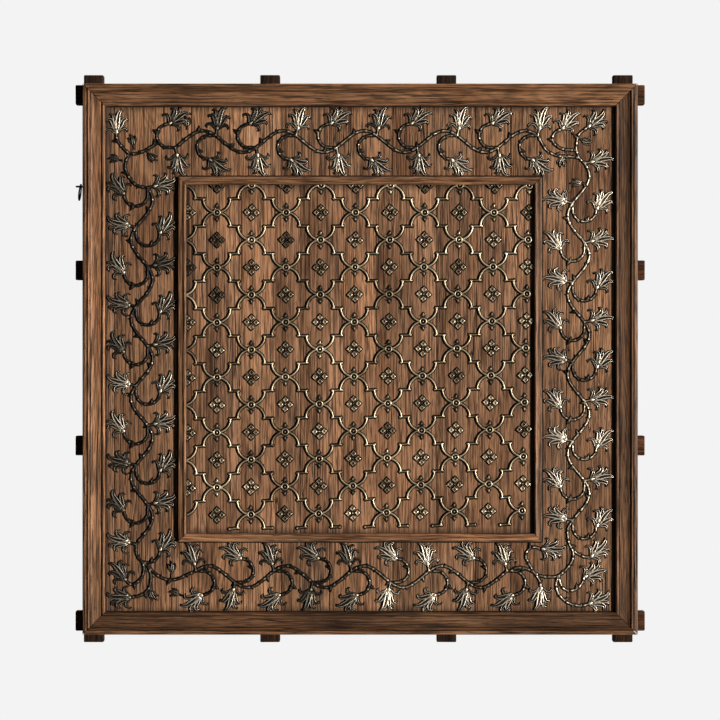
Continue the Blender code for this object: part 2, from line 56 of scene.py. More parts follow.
def linear(code):
    """An sRGB hex colour as linear red, green, blue and alpha."""
    parts = [int(code[i:i + 2], 16) / 255 for i in (1, 3, 5)]
    return (*[p / 12.92 if p <= 0.04045 else ((p + 0.055) / 1.055) ** 2.4 for p in parts], 1.0)


def set_inputs(tree, made, inputs):
    """Sets a node's inputs, each to a value or another node's socket, by the input's name or number."""
    for name, value in inputs.items():
        if isinstance(value, bpy.types.NodeSocket):
            tree.links.new(value, made.inputs[name])
        else:
            made.inputs[name].default_value = value


def add_node(tree, kind, inputs=None, **settings):
    made = tree.nodes.new(kind)
    for name, value in settings.items():
        setattr(made, name, value)
    set_inputs(tree, made, inputs or {})
    return made


def result(tree, kind, inputs=None, **settings):
    return add_node(tree, kind, inputs, **settings).outputs[0]


def new_surface(name):
    """A node material and its Principled shader."""
    surface = bpy.data.materials.new(name)
    surface.use_nodes = True
    return surface, surface.node_tree, surface.node_tree.nodes["Principled BSDF"]


def share(tree, value, low, high, start=0.0, stop=1.0):
    """Turns a value that runs from low to high into one from start to stop."""
    return result(tree, "ShaderNodeMapRange", {0: value, 1: low, 2: high, 3: start, 4: stop})


def blend_colour(tree, factor, first, second):
    return add_node(tree, "ShaderNodeMix", {0: factor, 6: first, 7: second}, data_type="RGBA").outputs[2]


def calculate(tree, kind, first, second=0.0):
    return result(tree, "ShaderNodeMath", {0: first, 1: second}, operation=kind)


def plus(tree, first, second):
    return calculate(tree, "ADD", first, second)


def minus(tree, first, second):
    return calculate(tree, "SUBTRACT", first, second)


def times(tree, first, second):
    return calculate(tree, "MULTIPLY", first, second)


def even_noise(tree, place, per_metre, detail):
    return result(tree, "ShaderNodeTexNoise", {0: place, 2: per_metre, 3: detail})


def stretched_noise(tree, place, across, along, detail=2.0, distortion=0.0):
    """Noise drawn out along the grain. Across and along are how many patches there are in a metre."""
    laid = result(tree, "ShaderNodeMapping", {0: place, 3: (across, across, along)})
    return result(tree, "ShaderNodeTexNoise", {0: laid, 2: 1.0, 3: detail, 8: distortion})


def bump(tree, strength, depth, height):
    return result(tree, "ShaderNodeBump", {0: strength, 1: depth, 3: height})


# Old hardwood, planed and waxed. The grain shows as long dark lines of late wood round a few knots, with
# fine pores, drying checks, and blotches where hands, smoke and wax have darkened it unevenly.
def old_wood(name, light, middle, dark, level=False, roughness=0.62, relief=1.0, edge_shade=None):
    surface, tree, shader = new_surface(name)
    seen_at = place = add_node(tree, "ShaderNodeTexCoord").outputs["Object"]
    if level:
        place = result(tree, "ShaderNodeMapping", {0: place, 2: (0.0, math.radians(90), 0.0)})
    own = add_node(tree, "ShaderNodeAttribute", attribute_name="shift").outputs["Vector"]
    place = result(tree, "ShaderNodeVectorMath", {0: place, 1: own}, operation="ADD")
    tone = add_node(tree, "ShaderNodeAttribute", attribute_name="tone").outputs["Fac"]

    # Knots about 20 mm across, one in every few cells of 300 by 600 mm, with the grain flowing round them
    cells = result(tree, "ShaderNodeMapping", {0: place, 3: (3.4, 3.4, 1.7)})
    knots = add_node(tree, "ShaderNodeTexVoronoi", {0: cells, 2: 1.0})
    chance = result(tree, "ShaderNodeSeparateColor", {0: knots.outputs["Color"]})
    present = share(tree, chance, 0.52, 0.56, 1.0, 0.0)
    halo = times(tree, share(tree, knots.outputs["Distance"], 0.0, 0.26, 1.0, 0.0), present)
    core = times(tree, share(tree, knots.outputs["Distance"], 0.022, 0.05, 1.0, 0.0), present)

    # Figure: growth rings 3 to 8 mm wide on the face, drawn out 15 times along the grain
    figure = stretched_noise(tree, place, 9.0, 0.7, 2.5, 0.9)
    phase = plus(tree, times(tree, figure, 130.0), times(tree, halo, 9.0))
    ring = times(tree, plus(tree, calculate(tree, "SINE", phase), 1.0), 0.5)
    ring = calculate(tree, "POWER", ring, 1.7)

    # Fibres 3 mm wide, streaks 7 mm wide, pores drawn 2 mm wide so that they show, and blotches a hand wide
    fibre = stretched_noise(tree, place, 300.0, 8.0, 3.0)
    streak = stretched_noise(tree, place, 150.0, 7.0, 3.0, 0.5)
    pore = share(tree, stretched_noise(tree, place, 430.0, 24.0, 1.0), 0.36, 0.42, 1.0, 0.0)
    blotch = stretched_noise(tree, place, 9.0, 2.4, 3.0, 0.4)

    # Checks: dark splits along the grain, in patches
    fine = stretched_noise(tree, place, 46.0, 1.5, 2.0, 0.2)
    away = calculate(tree, "ABSOLUTE", minus(tree, fine, 0.5))
    patches = share(tree, stretched_noise(tree, place, 5.0, 1.6, 1.0), 0.50, 0.60)
    check = times(tree, share(tree, away, 0.0, 0.016, 1.0, 0.0), patches)

    # Worm holes and old nail holes 4 mm across, one in every third cell of 70 mm
    holes = add_node(tree, "ShaderNodeTexVoronoi", {0: place, 2: 14.0, 8: 1.0})
    holed = add_node(tree, "ShaderNodeSeparateColor", {0: holes.outputs["Color"]}).outputs[1]
    hole = times(tree, share(tree, holes.outputs["Distance"], 0.020, 0.038, 1.0, 0.0),
                 share(tree, holed, 0.32, 0.34, 1.0, 0.0))

    body = blend_colour(tree, share(tree, blotch, 0.30, 0.64), linear(middle), linear(light))
    for strength in (times(tree, ring, 0.30), share(tree, streak, 0.52, 0.66, 0.0, 0.78),
                     share(tree, fibre, 0.45, 0.66, 0.0, 0.85), times(tree, pore, 0.60)):
        body = blend_colour(tree, strength, body, linear(dark))
    # The tone of the piece, which on the rails, mouldings and battens also holds painted light and shade, and patches
    # 200 mm long where it is darker or lighter
    patch = share(tree, stretched_noise(tree, place, 5.5, 2.0, 2.0), 0.30, 0.70, -0.75, 0.75)
    lift = share(tree, plus(tree, tone, patch), -2.0, 2.0, 0.22, 1.82)
    body = result(tree, "ShaderNodeVectorMath", {0: body, 3: lift}, operation="SCALE")
    black = [times(tree, core, 0.8), times(tree, hole, 0.85), times(tree, check, 0.9)]
    if edge_shade:
        # Painted shade: darker in the corner between the boards and the frame, over about 20 mm
        half_x, half_z, middle_z = edge_shade
        axes = add_node(tree, "ShaderNodeSeparateXYZ", {0: seen_at}).outputs
        off_x = minus(tree, calculate(tree, "ABSOLUTE", axes[0]), half_x)
        off_z = minus(tree, calculate(tree, "ABSOLUTE", minus(tree, axes[2], middle_z)), half_z)
        near = plus(tree, calculate(tree, "MAXIMUM", off_x, off_z), times(tree, blotch, 0.02))
        black.append(share(tree, near, -0.008, 0.016, 0.0, 0.85))
    for strength in black:
        body = blend_colour(tree, strength, body, linear("#0d0705"))

    height = times(tree, fibre, -0.35)
    for part, depth in ((ring, 0.3), (streak, 0.8), (pore, 0.3), (check, 2.0)):
        height = minus(tree, height, times(tree, part, depth))
    set_inputs(tree, shader, {
        "Base Color": body,
        "Specular IOR Level": 0.22,
        "Roughness": share(tree, streak, 0.3, 0.7, roughness - 0.08, roughness + 0.10),
        "Normal": bump(tree, 0.75 * relief, 0.0014, height),
    })
    return surface


# Sawn and never planed: dull and nearly black, with a coarse nap that breaks up the raking light
batten_up = old_wood("rough sawn hardwood, upright", *BATTEN_COLOURS, roughness=0.8, relief=1.6)
batten_level = old_wood("rough sawn hardwood, level", *BATTEN_COLOURS, level=True, roughness=0.8, relief=1.6)


def mark(mesh, tone, seed):
    """Writes how light a piece is, and where in the tree its wood was cut, for the wood to read."""
    spread = random.Random(seed)
    shift = [spread.uniform(-20, 20) for _ in range(3)]
    tones = mesh.attributes.new("tone", "FLOAT", "POINT")
    tones.data.foreach_set("value", [tone] * len(mesh.vertices))
    shifts = mesh.attributes.new("shift", "FLOAT_VECTOR", "POINT")
    shifts.data.foreach_set("vector", shift * len(mesh.vertices))


def place_piece(name, mesh, stands_for):
    """Puts the finished piece in, sets it on the root, and hides the solids that it stands for."""
    piece = bpy.data.objects.new(name, mesh)
    bpy.context.collection.objects.link(piece)
    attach(piece, "root")
    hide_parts(*stands_for)
    return piece


def add_piece(name, bm, surface, stands_for, tone=None, seed=0):
    mesh = bpy.data.meshes.new(name)
    bm.to_mesh(mesh)
    bm.free()
    mesh.materials.append(surface)
    if tone is not None:
        mark(mesh, tone, seed)
    mesh.set_sharp_from_angle(angle=math.radians(38))
    return place_piece(name, mesh, stands_for)


def eased_copy(node, ease, wear, seed):
    """A copy of a solid with its edges rounded off, and worn back a little where hands and tools met it."""
    bm = bmesh.new()
    bm.from_mesh(nodes[node].data)
    bmesh.ops.remove_doubles(bm, verts=bm.verts, dist=0.00001)
    bmesh.ops.dissolve_limit(bm, angle_limit=math.radians(1), verts=bm.verts, edges=bm.edges)
    low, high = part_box(node)
    middle = (Vector(low) + Vector(high)) / 2
    bmesh.ops.bevel(bm, geom=bm.edges[:], offset=ease, segments=2, profile=0.6, affect="EDGES", clamp_overlap=True)
    for vert in bm.verts:
        for axis in range(3):
            sample = vert.co * 9.0 + Vector((seed * 3.1, axis * 7.7, 0.0))
            back = wear * (0.5 + 0.5 * noise.noise(sample))
            vert.co[axis] += back if vert.co[axis] < middle[axis] else -back
    return bm


for number in range(1, 5):
    for way, surface, first_seed in (("upright", batten_up, 0), ("level", batten_level, 4)):
        node = f"batten_{way}_{number}"
        seed = first_seed + number
        bm = eased_copy(node, BATTEN_EASE, BATTEN_WEAR, seed)
        add_piece(f"sawn_{node}", bm, surface, [node], BATTEN_TONE_AND_SHADE[way], seed)

# Boards
# Nine wide upright boards of old hardwood, butted edge to edge and nailed to the battens from the front.
# Their edges are rounded by wear, so each seam shows as a dark line about 4 mm wide.
BOARD_EASE = 0.0020
BOARD_WEAR = 0.0002
BOARD_COLOURS = ("#9f795b", "#7f5b41", "#28160c")
BOARD_TONES = (-0.45, 0.0, 0.25, -0.2, 0.15, -0.15, 0.3, -0.2, 0.1)
# Half the width and height inside the rails, and the height of the panel's middle
BOARDS_SHOWN = (0.735, 0.729, -0.764)
# Waxed boards: a soft sheen, warm brown, with the dark lines of the grain plain to see
# Painted shade darkens the wide boards towards the rails
board_wood = old_wood("waxed hardwood boards", *BOARD_COLOURS, edge_shade=BOARDS_SHOWN)
for number, tone in enumerate(BOARD_TONES, 1):
    node = f"board_{number}"
    seed = 20 + number
    bm = eased_copy(node, BOARD_EASE, BOARD_WEAR, seed)
    add_piece(f"worn_{node}", bm, board_wood, [node], tone, seed)

# Seam dirt
# A century of wax and dust packed into the seams between the wide boards, level a little below their faces,
# so that no light comes through from behind.
SEAM_DEPTH = 0.0035
SEAM_LAP = 0.0008
SEAM_END = 0.001

# Painted shade, and old wax and dust in the seams: matt, nearly black, with faint brown specks 2 mm across, so that
# it reads as shadow
shade_and_dirt, tree, shader = new_surface("painted shade and old wax")
place = add_node(tree, "ShaderNodeTexCoord").outputs["Object"]
specks = blend_colour(tree, even_noise(tree, place, 400.0, 2.0), linear("#0a0604"), linear("#1c110a"))
set_inputs(tree, shader, {"Base Color": specks, "Roughness": 0.85, "Specular IOR Level": 0.2})


def block(low, high):
    """A plain box between two corners."""
    bm = bmesh.new()
    bmesh.ops.create_cube(bm, size=1.0)
    for vert in bm.verts:
        vert.co = [low[axis] if vert.co[axis] < 0 else high[axis] for axis in range(3)]
    return bm


for number in range(1, len(BOARD_TONES)):
    left_low, left_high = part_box(f"board_{number}")
    right_low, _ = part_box(f"board_{number + 1}")
    bm = block((left_high[0] - SEAM_LAP, left_low[1] + SEAM_DEPTH, left_low[2] + SEAM_END),
               (right_low[0] + SEAM_LAP, left_high[1] - SEAM_END, left_high[2] - SEAM_END))
    add_piece(f"seam_dirt_{number}", bm, shade_and_dirt, [f"board_{number}"])

# Frame rails
# Four heavy rails of the same wood, mitred at the corners, with their edges and beads run by a moulding
# plane: a strip that falls outwards, a quirk, a round bead, a broad hollow that falls inwards, and a second bead.
RAIL_W = 0.065
RAIL_LIP = 0.012
RAIL_TOP = 0.034
RAIL_SEAT = 0.0223
STRIP_W = 0.0105
STRIP_FALL = 0.0016
BEAD_W = 0.008
QUIRK = 0.0025
QUIRK_DEPTH = 0.0038
INNER_BEAD_W = 0.010
HOLLOW = 0.0045
FACE_FALL = 0.0026
MITRE_GAP = 0.0010
PLANE_WAVER = 0.0006
SIDES = {
    "top": ((1, 0), (0, 1)),
    "right": ((0, -1), (1, 0)),
    "bottom": ((-1, 0), (0, -1)),
    "left": ((0, 1), (-1, 0)),
}
RAIL_COLOURS = ("#a07757", "#865f43", "#22130a")
# Each rail's tone also holds painted light: lighter or darker by how the lamp falls on its side
RAIL_TONE_AND_LIGHT = {"top": -0.40, "right": -1.15, "bottom": -1.65, "left": -0.05}
LIT_STRIP_LIFT = 1.15
# Moulded rails: planed smoother than the boards, so that each bead carries a thin line of light
rail_up = old_wood("moulded hardwood, upright", *RAIL_COLOURS, roughness=0.55)
rail_level = old_wood("moulded hardwood, level", *RAIL_COLOURS, level=True, roughness=0.55)


def curve_between(start, stop, middle_height, steps):
    """A round or hollow run of profile points, bulging to the given height halfway."""
    points = []
    for i in range(steps + 1):
        t = i / steps
        level = start[1] + (stop[1] - start[1]) * t
        bulge = (middle_height - level) * math.sin(math.pi * t)
        points.append((start[0] + (stop[0] - start[0]) * t, level + bulge))
    return points


def skin(bm, rings, ends=()):
    """Faces between rings of vertices, each ring to the next, and over the rings at its ends."""
    for one, two in zip(rings, rings[1:]):
        for i in range(len(one)):
            j = (i + 1) % len(one)
            bm.faces.new((one[i], one[j], two[j], two[i]))
    for ring in ends:
        bm.faces.new(ring)


def mitred_sweep(side, half_w, half_h, back_y, profile, wave, seed, steps=70):
    """Runs a profile along one side of a frame about the panel's middle, mitred at both ends, with the slight
    waver of a hand plane."""
    along, out = SIDES[side]
    half_out, half_run = (half_h, half_w) if out[0] == 0 else (half_w, half_h)
    bm = bmesh.new()
    rings = []
    for i in range(steps + 1):
        t = 2 * i / steps - 1
        ring = []
        for inward, height in profile:
            run = t * (half_run - inward - MITRE_GAP)
            waver = wave * noise.noise(Vector((run * 5.0, inward * 60.0, seed)))
            lower = height - abs(waver) if height > RAIL_LIP / 2 else height
            off = half_out - inward
            ring.append(bm.verts.new((
                panel_x + along[0] * run + out[0] * off,
                back_y - lower,
                panel_z + along[1] * run + out[1] * off,
            )))
        rings.append(ring)
    skin(bm, rings, (rings[0], rings[-1]))
    bmesh.ops.recalc_face_normals(bm, faces=bm.faces)
    return bm


shoulder = RAIL_TOP - QUIRK
bead_foot = shoulder - 0.0012
quirk_foot = shoulder - QUIRK_DEPTH
hollow_start = STRIP_W + BEAD_W + 2 * QUIRK
hollow_end = RAIL_W - INNER_BEAD_W - QUIRK
rail_profile = [
    (0.0, 0.0), (0.0, shoulder - STRIP_FALL - 0.0014), (0.0014, shoulder - STRIP_FALL),
    (STRIP_W - 0.0008, shoulder), (STRIP_W, shoulder - 0.0006), (STRIP_W + QUIRK / 2, quirk_foot),
    *curve_between((STRIP_W + QUIRK, bead_foot), (STRIP_W + QUIRK + BEAD_W, bead_foot), RAIL_TOP, 8),
    (hollow_start - QUIRK / 2, quirk_foot),
    *curve_between((hollow_start, shoulder + QUIRK / 2), (hollow_end, shoulder + QUIRK / 2 - FACE_FALL),
                   RAIL_TOP - HOLLOW, 12),
    (hollow_end + QUIRK / 2, quirk_foot),
    *curve_between((RAIL_W - INNER_BEAD_W, shoulder - 0.0010), (RAIL_W, shoulder - 0.0030),
                   RAIL_TOP - QUIRK / 4, 8),
    (RAIL_W, RAIL_SEAT), (RAIL_LIP, RAIL_SEAT), (RAIL_LIP, 0.0),
]


def frame_box(name):
    """The low and high corner of the box round a frame's four sides."""
    boxes = [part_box(f"{name}_{side}") for side in SIDES]
    return [[pick(box[end][axis] for box in boxes) for axis in range(3)] for end, pick in ((0, min), (1, max))]


frame_low, frame_high = frame_box("frame")
panel_x = (frame_low[0] + frame_high[0]) / 2
panel_z = (frame_low[2] + frame_high[2]) / 2
half_w = (frame_high[0] - frame_low[0]) / 2
half_h = (frame_high[2] - frame_low[2]) / 2
for seed, side in enumerate(SIDES, 40):
    bm = mitred_sweep(side, half_w, half_h, frame_high[1], rail_profile, PLANE_WAVER, seed)
    surface = rail_level if side in ("top", "bottom") else rail_up
    name = f"frame_{side}"
    piece = add_piece(f"moulded_{name}", bm, surface, [name], RAIL_TONE_AND_LIGHT[side], seed)
    if side == "bottom":
        # Its outer strip is painted lighter, as if lit from below
        for vert, tone in zip(piece.data.vertices, piece.data.attributes["tone"].data):
            if vert.co.z < panel_z - half_h + STRIP_W + 0.0002:
                tone.value += LIT_STRIP_LIFT

# Centre frame
# Four mitred mouldings nailed on the boards: a square outer edge, a shallow cove that rises from it, a round
# crest, and a straight drop to the inner boards. The same wood as the rails.
MOULD_W = 0.023
MOULD_RISE = 0.017
CREST_W = 0.007
HEEL = 0.0115
FILLET_W = 0.002
COVE_STEPS = 8
CENTRE_WAVER = 0.0004
# Each moulding's tone also holds painted light: the bottom one lightest, as if lit from below
CENTRE_TONE_AND_LIGHT = {"top": -0.4, "right": -0.45, "bottom": 0.55, "left": -0.25}
cove_w = MOULD_W - CREST_W - FILLET_W
mould_profile = [(0.0, 0.0), (0.0, HEEL - 0.0008), (0.0008, HEEL), (FILLET_W, HEEL + 0.0004)]
for i in range(1, COVE_STEPS):
    turn = math.pi / 2 * i / COVE_STEPS
    mould_profile.append((
        FILLET_W + (cove_w - FILLET_W) * math.sin(turn),
        HEEL + 0.0010 + (MOULD_RISE - HEEL - 0.0035) * (1 - math.cos(turn)),
    ))
mould_profile += curve_between((cove_w, MOULD_RISE - 0.0022), (MOULD_W, MOULD_RISE - 0.0035), MOULD_RISE, 8)
mould_profile += [(MOULD_W, 0.0)]
centre_low, centre_high = frame_box("centre_moulding")
centre_half_w = (centre_high[0] - centre_low[0]) / 2
centre_half_h = (centre_high[2] - centre_low[2]) / 2
for seed, side in enumerate(SIDES, 50):
    bm = mitred_sweep(side, centre_half_w, centre_half_h, centre_high[1], mould_profile, CENTRE_WAVER, seed, 50)
    surface = rail_level if side in ("top", "bottom") else rail_up
    name = f"centre_moulding_{side}"
    add_piece(f"coved_{name}", bm, surface, [name], CENTRE_TONE_AND_LIGHT[side], seed)

# Frame corner shade
# A thin line of painted shade in the corners where the boards meet the rails and the centre frame. It is
# about 4 mm wide, and reads as a thin black line round both frames.
CORNER_SHADE_W = 0.0042
CORNER_SHADE_RISE = 0.0010
CORNER_SHADE_EDGE = 0.0002
CORNER_SHADE_LAP = 0.001
CORNER_SHADE_SINK = 0.0003
board_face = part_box("board_1")[0][1]
corner_shade_y = board_face + CORNER_SHADE_SINK
opening_w, opening_h = half_w - RAIL_W + CORNER_SHADE_LAP, half_h - RAIL_W + CORNER_SHADE_LAP
outside = [(0.0, 0.0), (0.0, CORNER_SHADE_EDGE), (CORNER_SHADE_W, CORNER_SHADE_RISE), (CORNER_SHADE_W + CORNER_SHADE_LAP, CORNER_SHADE_RISE),
           (CORNER_SHADE_W + CORNER_SHADE_LAP, 0.0)]
inside = [(0.0, 0.0), (0.0, CORNER_SHADE_RISE), (CORNER_SHADE_LAP, CORNER_SHADE_RISE), (CORNER_SHADE_W, CORNER_SHADE_EDGE), (CORNER_SHADE_W, 0.0)]
for seed, side in enumerate(SIDES, 70):
    for name, node, across, up, profile in (
        ("centre_dirt", "centre_moulding", centre_half_w + CORNER_SHADE_W, centre_half_h + CORNER_SHADE_W, outside),
        ("rail_dirt", "frame", opening_w, opening_h, inside),
    ):
        bm = mitred_sweep(side, across, up, corner_shade_y, profile, 0.0, seed, 2)
        add_piece(f"{name}_{side}", bm, shade_and_dirt, [f"{node}_{side}"])

# Inner boards
# Nine thin boards of a slightly lighter piece of the same wood, laid on the wide boards inside the centre
# frame and carrying the lattice. Their edges are rounded, with open seams between them.
INNER_T = 0.0055
INNER_EASE = 0.0014
INNER_COLOURS = ("#a67e60", "#886247", "#28160c")
INNER_TONES = (-0.25, -0.35, 0.05, 0.10, -0.10, 0.15, 0.0, -0.45, -0.2)
field_half_w = centre_half_w - MOULD_W
field_half_h = centre_half_h - MOULD_W
FIELD_SHADE_EDGE = 0.002
# Thin waxed boards: a little lighter than the wide ones, so that the field stands out from the border
# Painted shade darkens the thin boards towards the centre frame
inner_wood = old_wood("waxed thin hardwood boards", *INNER_COLOURS,
                      edge_shade=(field_half_w - FIELD_SHADE_EDGE, field_half_h - FIELD_SHADE_EDGE, panel_z))
for number, tone in enumerate(INNER_TONES, 1):
    node = f"inner_board_{number}"
    low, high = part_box(node)
    bm = block((low[0], high[1] - INNER_T, low[2]), high)
    bmesh.ops.bevel(bm, geom=bm.edges[:], offset=INNER_EASE, segments=2, profile=0.6, affect="EDGES")
    add_piece(f"worn_{node}", bm, inner_wood, [node], tone, 60 + number)

# Lattice
# Cast ribbon, half round on top, in quarter arcs that spring from small rings and end on short level bars
# with a ball at each end. It is a brassy white metal, blackened in the hollows and rubbed bright on top.
LATTICE_PITCH_X = 0.0983
LATTICE_PITCH_Z = 0.0780
LATTICE_START_X = 0.0882
LATTICE_START_Z = 0.0800
LATTICE_SPREAD_TOP = 0.0135
LATTICE_SPREAD_BOTTOM = -0.0055
LATTICE_DROP_LEFT = 0.0135
LATTICE_DROP_RIGHT = 0.0010
LATTICE_ARC_R = LATTICE_PITCH_Z / 2
RIBBON_W = 0.0070
RIBBON_RISE = 0.0049
RIBBON_START = 0.0082
BAR_PAST = 0.0030
BAR_SLIM = 0.85
FIELD_GAP = 0.0002
LATTICE_SHADE = 0.0032
SHADOW_SHIFT = 0.0013
SHADE_FLATNESS = 0.09
ARC_STEPS = 9
BEAD_OFF = 0.0042
last_column = math.floor((2 * field_half_w - LATTICE_START_X) / LATTICE_PITCH_X)
last_row = math.floor((2 * field_half_h - LATTICE_START_Z) / LATTICE_PITCH_Z)
inner_face = centre_high[1] - INNER_T


# White brass: bare and bright on the ridges, black with oxide and old wax where it meets the wood, so that
# the relief reads from afar as pale lines in dark outlines.
def tarnished(name, face_y, rise, bright, middle, roughness):
    surface, tree, shader = new_surface(name)
    place = add_node(tree, "ShaderNodeTexCoord").outputs["Object"]
    over = add_node(tree, "ShaderNodeSeparateXYZ", {0: place}).outputs[1]
    # Read from each piece: its wear, and painted light that makes it lighter on the side of the lamp
    rub = add_node(tree, "ShaderNodeAttribute", attribute_name="rubbed").outputs["Fac"]
    sunk = add_node(tree, "ShaderNodeAttribute", attribute_name="sunk").outputs["Fac"]
    level = share(tree, over, face_y - 0.48 * rise, face_y - 0.94 * rise)
    # Tarnish in patches of 15 mm, and pits and scratches 1 mm wide
    patch = even_noise(tree, place, 70.0, 3.0)
    pits = even_noise(tree, place, 900.0, 2.0)
    wear = plus(tree, times(tree, level, 0.9), times(tree, patch, 0.7))
    wear = plus(tree, wear, minus(tree, rub, 0.95))
    wear = minus(tree, wear, times(tree, calculate(tree, "POWER", sunk, 1.6), 1.3))
    bare = share(tree, wear, 0.20, 0.60)
    colour = blend_colour(tree, bare, linear("#0c0907"), linear(middle))
    set_inputs(tree, shader, {
        "Base Color": blend_colour(tree, share(tree, wear, 0.50, 1.00), colour, linear(bright)),
        "Metallic": share(tree, bare, 0.0, 1.0, 0.35, 0.9),
        "Roughness": share(tree, pits, 0.3, 0.7, roughness - 0.1, roughness + 0.12),
        "Normal": bump(tree, 0.5, 0.0006, pits),
    })
    return surface


# The lattice is yellower and duller than the vine, as if it was polished less
lattice_metal = tarnished("tarnished white brass ribbon", inner_face, RIBBON_RISE, "#d6cab0", "#8d8168", 0.44)


def lattice_point(column, row):
    right, down = column / last_column, row / last_row
    spread = right * (LATTICE_SPREAD_TOP * (1 - down) + LATTICE_SPREAD_BOTTOM * down)
    drop = down * (LATTICE_DROP_LEFT * (1 - right) + LATTICE_DROP_RIGHT * right)
    x = panel_x - field_half_w + LATTICE_START_X + LATTICE_PITCH_X * column + spread
    z = panel_z + field_half_h - LATTICE_START_Z - LATTICE_PITCH_Z * row - drop
    return x, z


def quarter(point, across, up):
    """From a ring's edge outwards: level at first, then turning up or down to the bar."""
    first = math.asin(RIBBON_START / LATTICE_ARC_R)
    points = []
    for i in range(ARC_STEPS + 1):
        turn = first + (math.pi / 2 - first) * i / ARC_STEPS
        points.append((point[0] + across * LATTICE_ARC_R * math.sin(turn),
                       point[1] + up * LATTICE_ARC_R * (1 - math.cos(turn))))
    return points


def in_field(point, margin=0.0):
    return (abs(point[0] - panel_x) < field_half_w - margin
            and abs(point[1] - panel_z) < field_half_h - margin)


lattice_strokes, lattice_balls, lattice_beads, lattice_rings = [], [], [], []
for row in range(-1, last_row + 2):
    for column in range(-1 if row % 2 else 0, last_column + 1, 2):
        here = lattice_point(column, row)
        if row <= last_row and in_field(here, -0.003):
            lattice_rings.append(here)
        for up in (1, -1):
            if column == last_column or min(row, row - up) > last_row:
                continue
            far = lattice_point(column + 1, row - up)
            if not (in_field(here) or in_field(far)):
                continue
            first, second = quarter(here, 1, up), quarter(far, -1, -up)
            bar = Vector(second[-1]) - Vector(first[-1])
            past = bar.normalized() * BAR_PAST
            ends = [Vector(first[-1]) - past, Vector(second[-1]) + past]
            for arc_points, whole in ((first, row <= last_row), (second, row - up <= last_row)):
                if whole:
                    lattice_strokes.append([(x, z, RIBBON_W / 2) for x, z in arc_points])
                    lattice_beads.append((arc_points[5], arc_points[6]))
            lattice_strokes.append([(p.x, p.y, RIBBON_W / 2 * BAR_SLIM) for p in ends])
            lattice_balls += [tuple(ends[0]), tuple(ends[1])]


def new_tree(name, sockets):
    """An empty tree of geometry nodes with named inputs."""
    tree = bpy.data.node_groups.new(name, "GeometryNodeTree")
    tree.interface.new_socket("Geometry", in_out="INPUT", socket_type="NodeSocketGeometry")
    for label, kind in sockets:
        tree.interface.new_socket(label, in_out="INPUT", socket_type=kind)
    tree.interface.new_socket("Geometry", in_out="OUTPUT", socket_type="NodeSocketGeometry")
    return tree, add_node(tree, "NodeGroupInput").outputs


def finish_tree(tree, made, surface):
    made = result(tree, "GeometryNodeSetShadeSmooth", {"Geometry": made})
    made = result(tree, "GeometryNodeRealizeInstances", {"Geometry": made})
    made = result(tree, "GeometryNodeSetMaterial", {"Geometry": made, "Material": surface})
    add_node(tree, "NodeGroupOutput", {"Geometry": made})


def numbers_of(tree, name):
    return result(tree, "GeometryNodeInputNamedAttribute", {"Name": name}, data_type="FLOAT")


def vector(tree, x, y, z):
    return result(tree, "ShaderNodeCombineXYZ", {"X": x, "Y": y, "Z": z})


wire_tree, given = new_tree("half-round ribbon along lines", (
    ("Sides", "NodeSocketInt"), ("Widening", "NodeSocketFloat"), ("Flatness", "NodeSocketFloat"),
    ("Face", "NodeSocketFloat"), ("Surface", "NodeSocketMaterial"),
))
line = result(wire_tree, "GeometryNodeMeshToCurve", {"Mesh": given["Geometry"]})
section = add_node(wire_tree, "GeometryNodeCurvePrimitiveCircle", {"Resolution": given["Sides"], "Radius": 1.0})
wire = result(wire_tree, "GeometryNodeCurveToMesh", {
    "Curve": line, "Profile Curve": section.outputs[0], "Fill Caps": True,
    "Scale": plus(wire_tree, numbers_of(wire_tree, "half_width"), given["Widening"]),
})
wire = result(wire_tree, "GeometryNodeTransform", {
    "Geometry": wire, "Translation": vector(wire_tree, 0.0, given["Face"], 0.0),
    "Scale": vector(wire_tree, 1.0, given["Flatness"], 1.0),
})
finish_tree(wire_tree, wire, given["Surface"])

stamp_tree, given = new_tree("one form set at many places", (
    ("Form", "NodeSocketObject"), ("Face", "NodeSocketFloat"), ("Surface", "NodeSocketMaterial"),
))
size = numbers_of(stamp_tree, "size")
about = {"Axis": (0.0, -1.0, 0.0), "Angle": numbers_of(stamp_tree, "turn")}
stamped = result(stamp_tree, "GeometryNodeInstanceOnPoints", {
    "Points": result(stamp_tree, "GeometryNodeMeshToPoints", {"Mesh": given["Geometry"]}),
    "Instance": add_node(stamp_tree, "GeometryNodeObjectInfo", {"Object": given["Form"]}).outputs["Geometry"],
    "Rotation": result(stamp_tree, "FunctionNodeAxisAngleToRotation", about),
    "Scale": vector(stamp_tree, size, 1.0, size),
})
stamped = result(stamp_tree, "GeometryNodeRealizeInstances", {"Geometry": stamped})
lift = {"Geometry": stamped, "Translation": vector(stamp_tree, 0.0, given["Face"], 0.0)}
finish_tree(stamp_tree, result(stamp_tree, "GeometryNodeTransform", lift), given["Surface"])


def settle(name, mesh, tree, values, stands_for):
    """Runs a tree on a mesh of lines or points and keeps the result as a plain piece."""
    source = bpy.data.objects.new(name + "_source", mesh)
    bpy.context.collection.objects.link(source)
    modifier = source.modifiers.new("form", "NODES")
    modifier.node_group = tree
    for item in tree.interface.items_tree:
        if item.in_out == "INPUT" and item.name in values:
            modifier[item.identifier] = values[item.name]
    source.update_tag()
    graph = bpy.context.evaluated_depsgraph_get()
    made = bpy.data.meshes.new_from_object(source.evaluated_get(graph), depsgraph=graph)
    source.modifiers.remove(modifier)
    bpy.data.objects.remove(source)
    made.name = name
    return place_piece(name, made, stands_for)


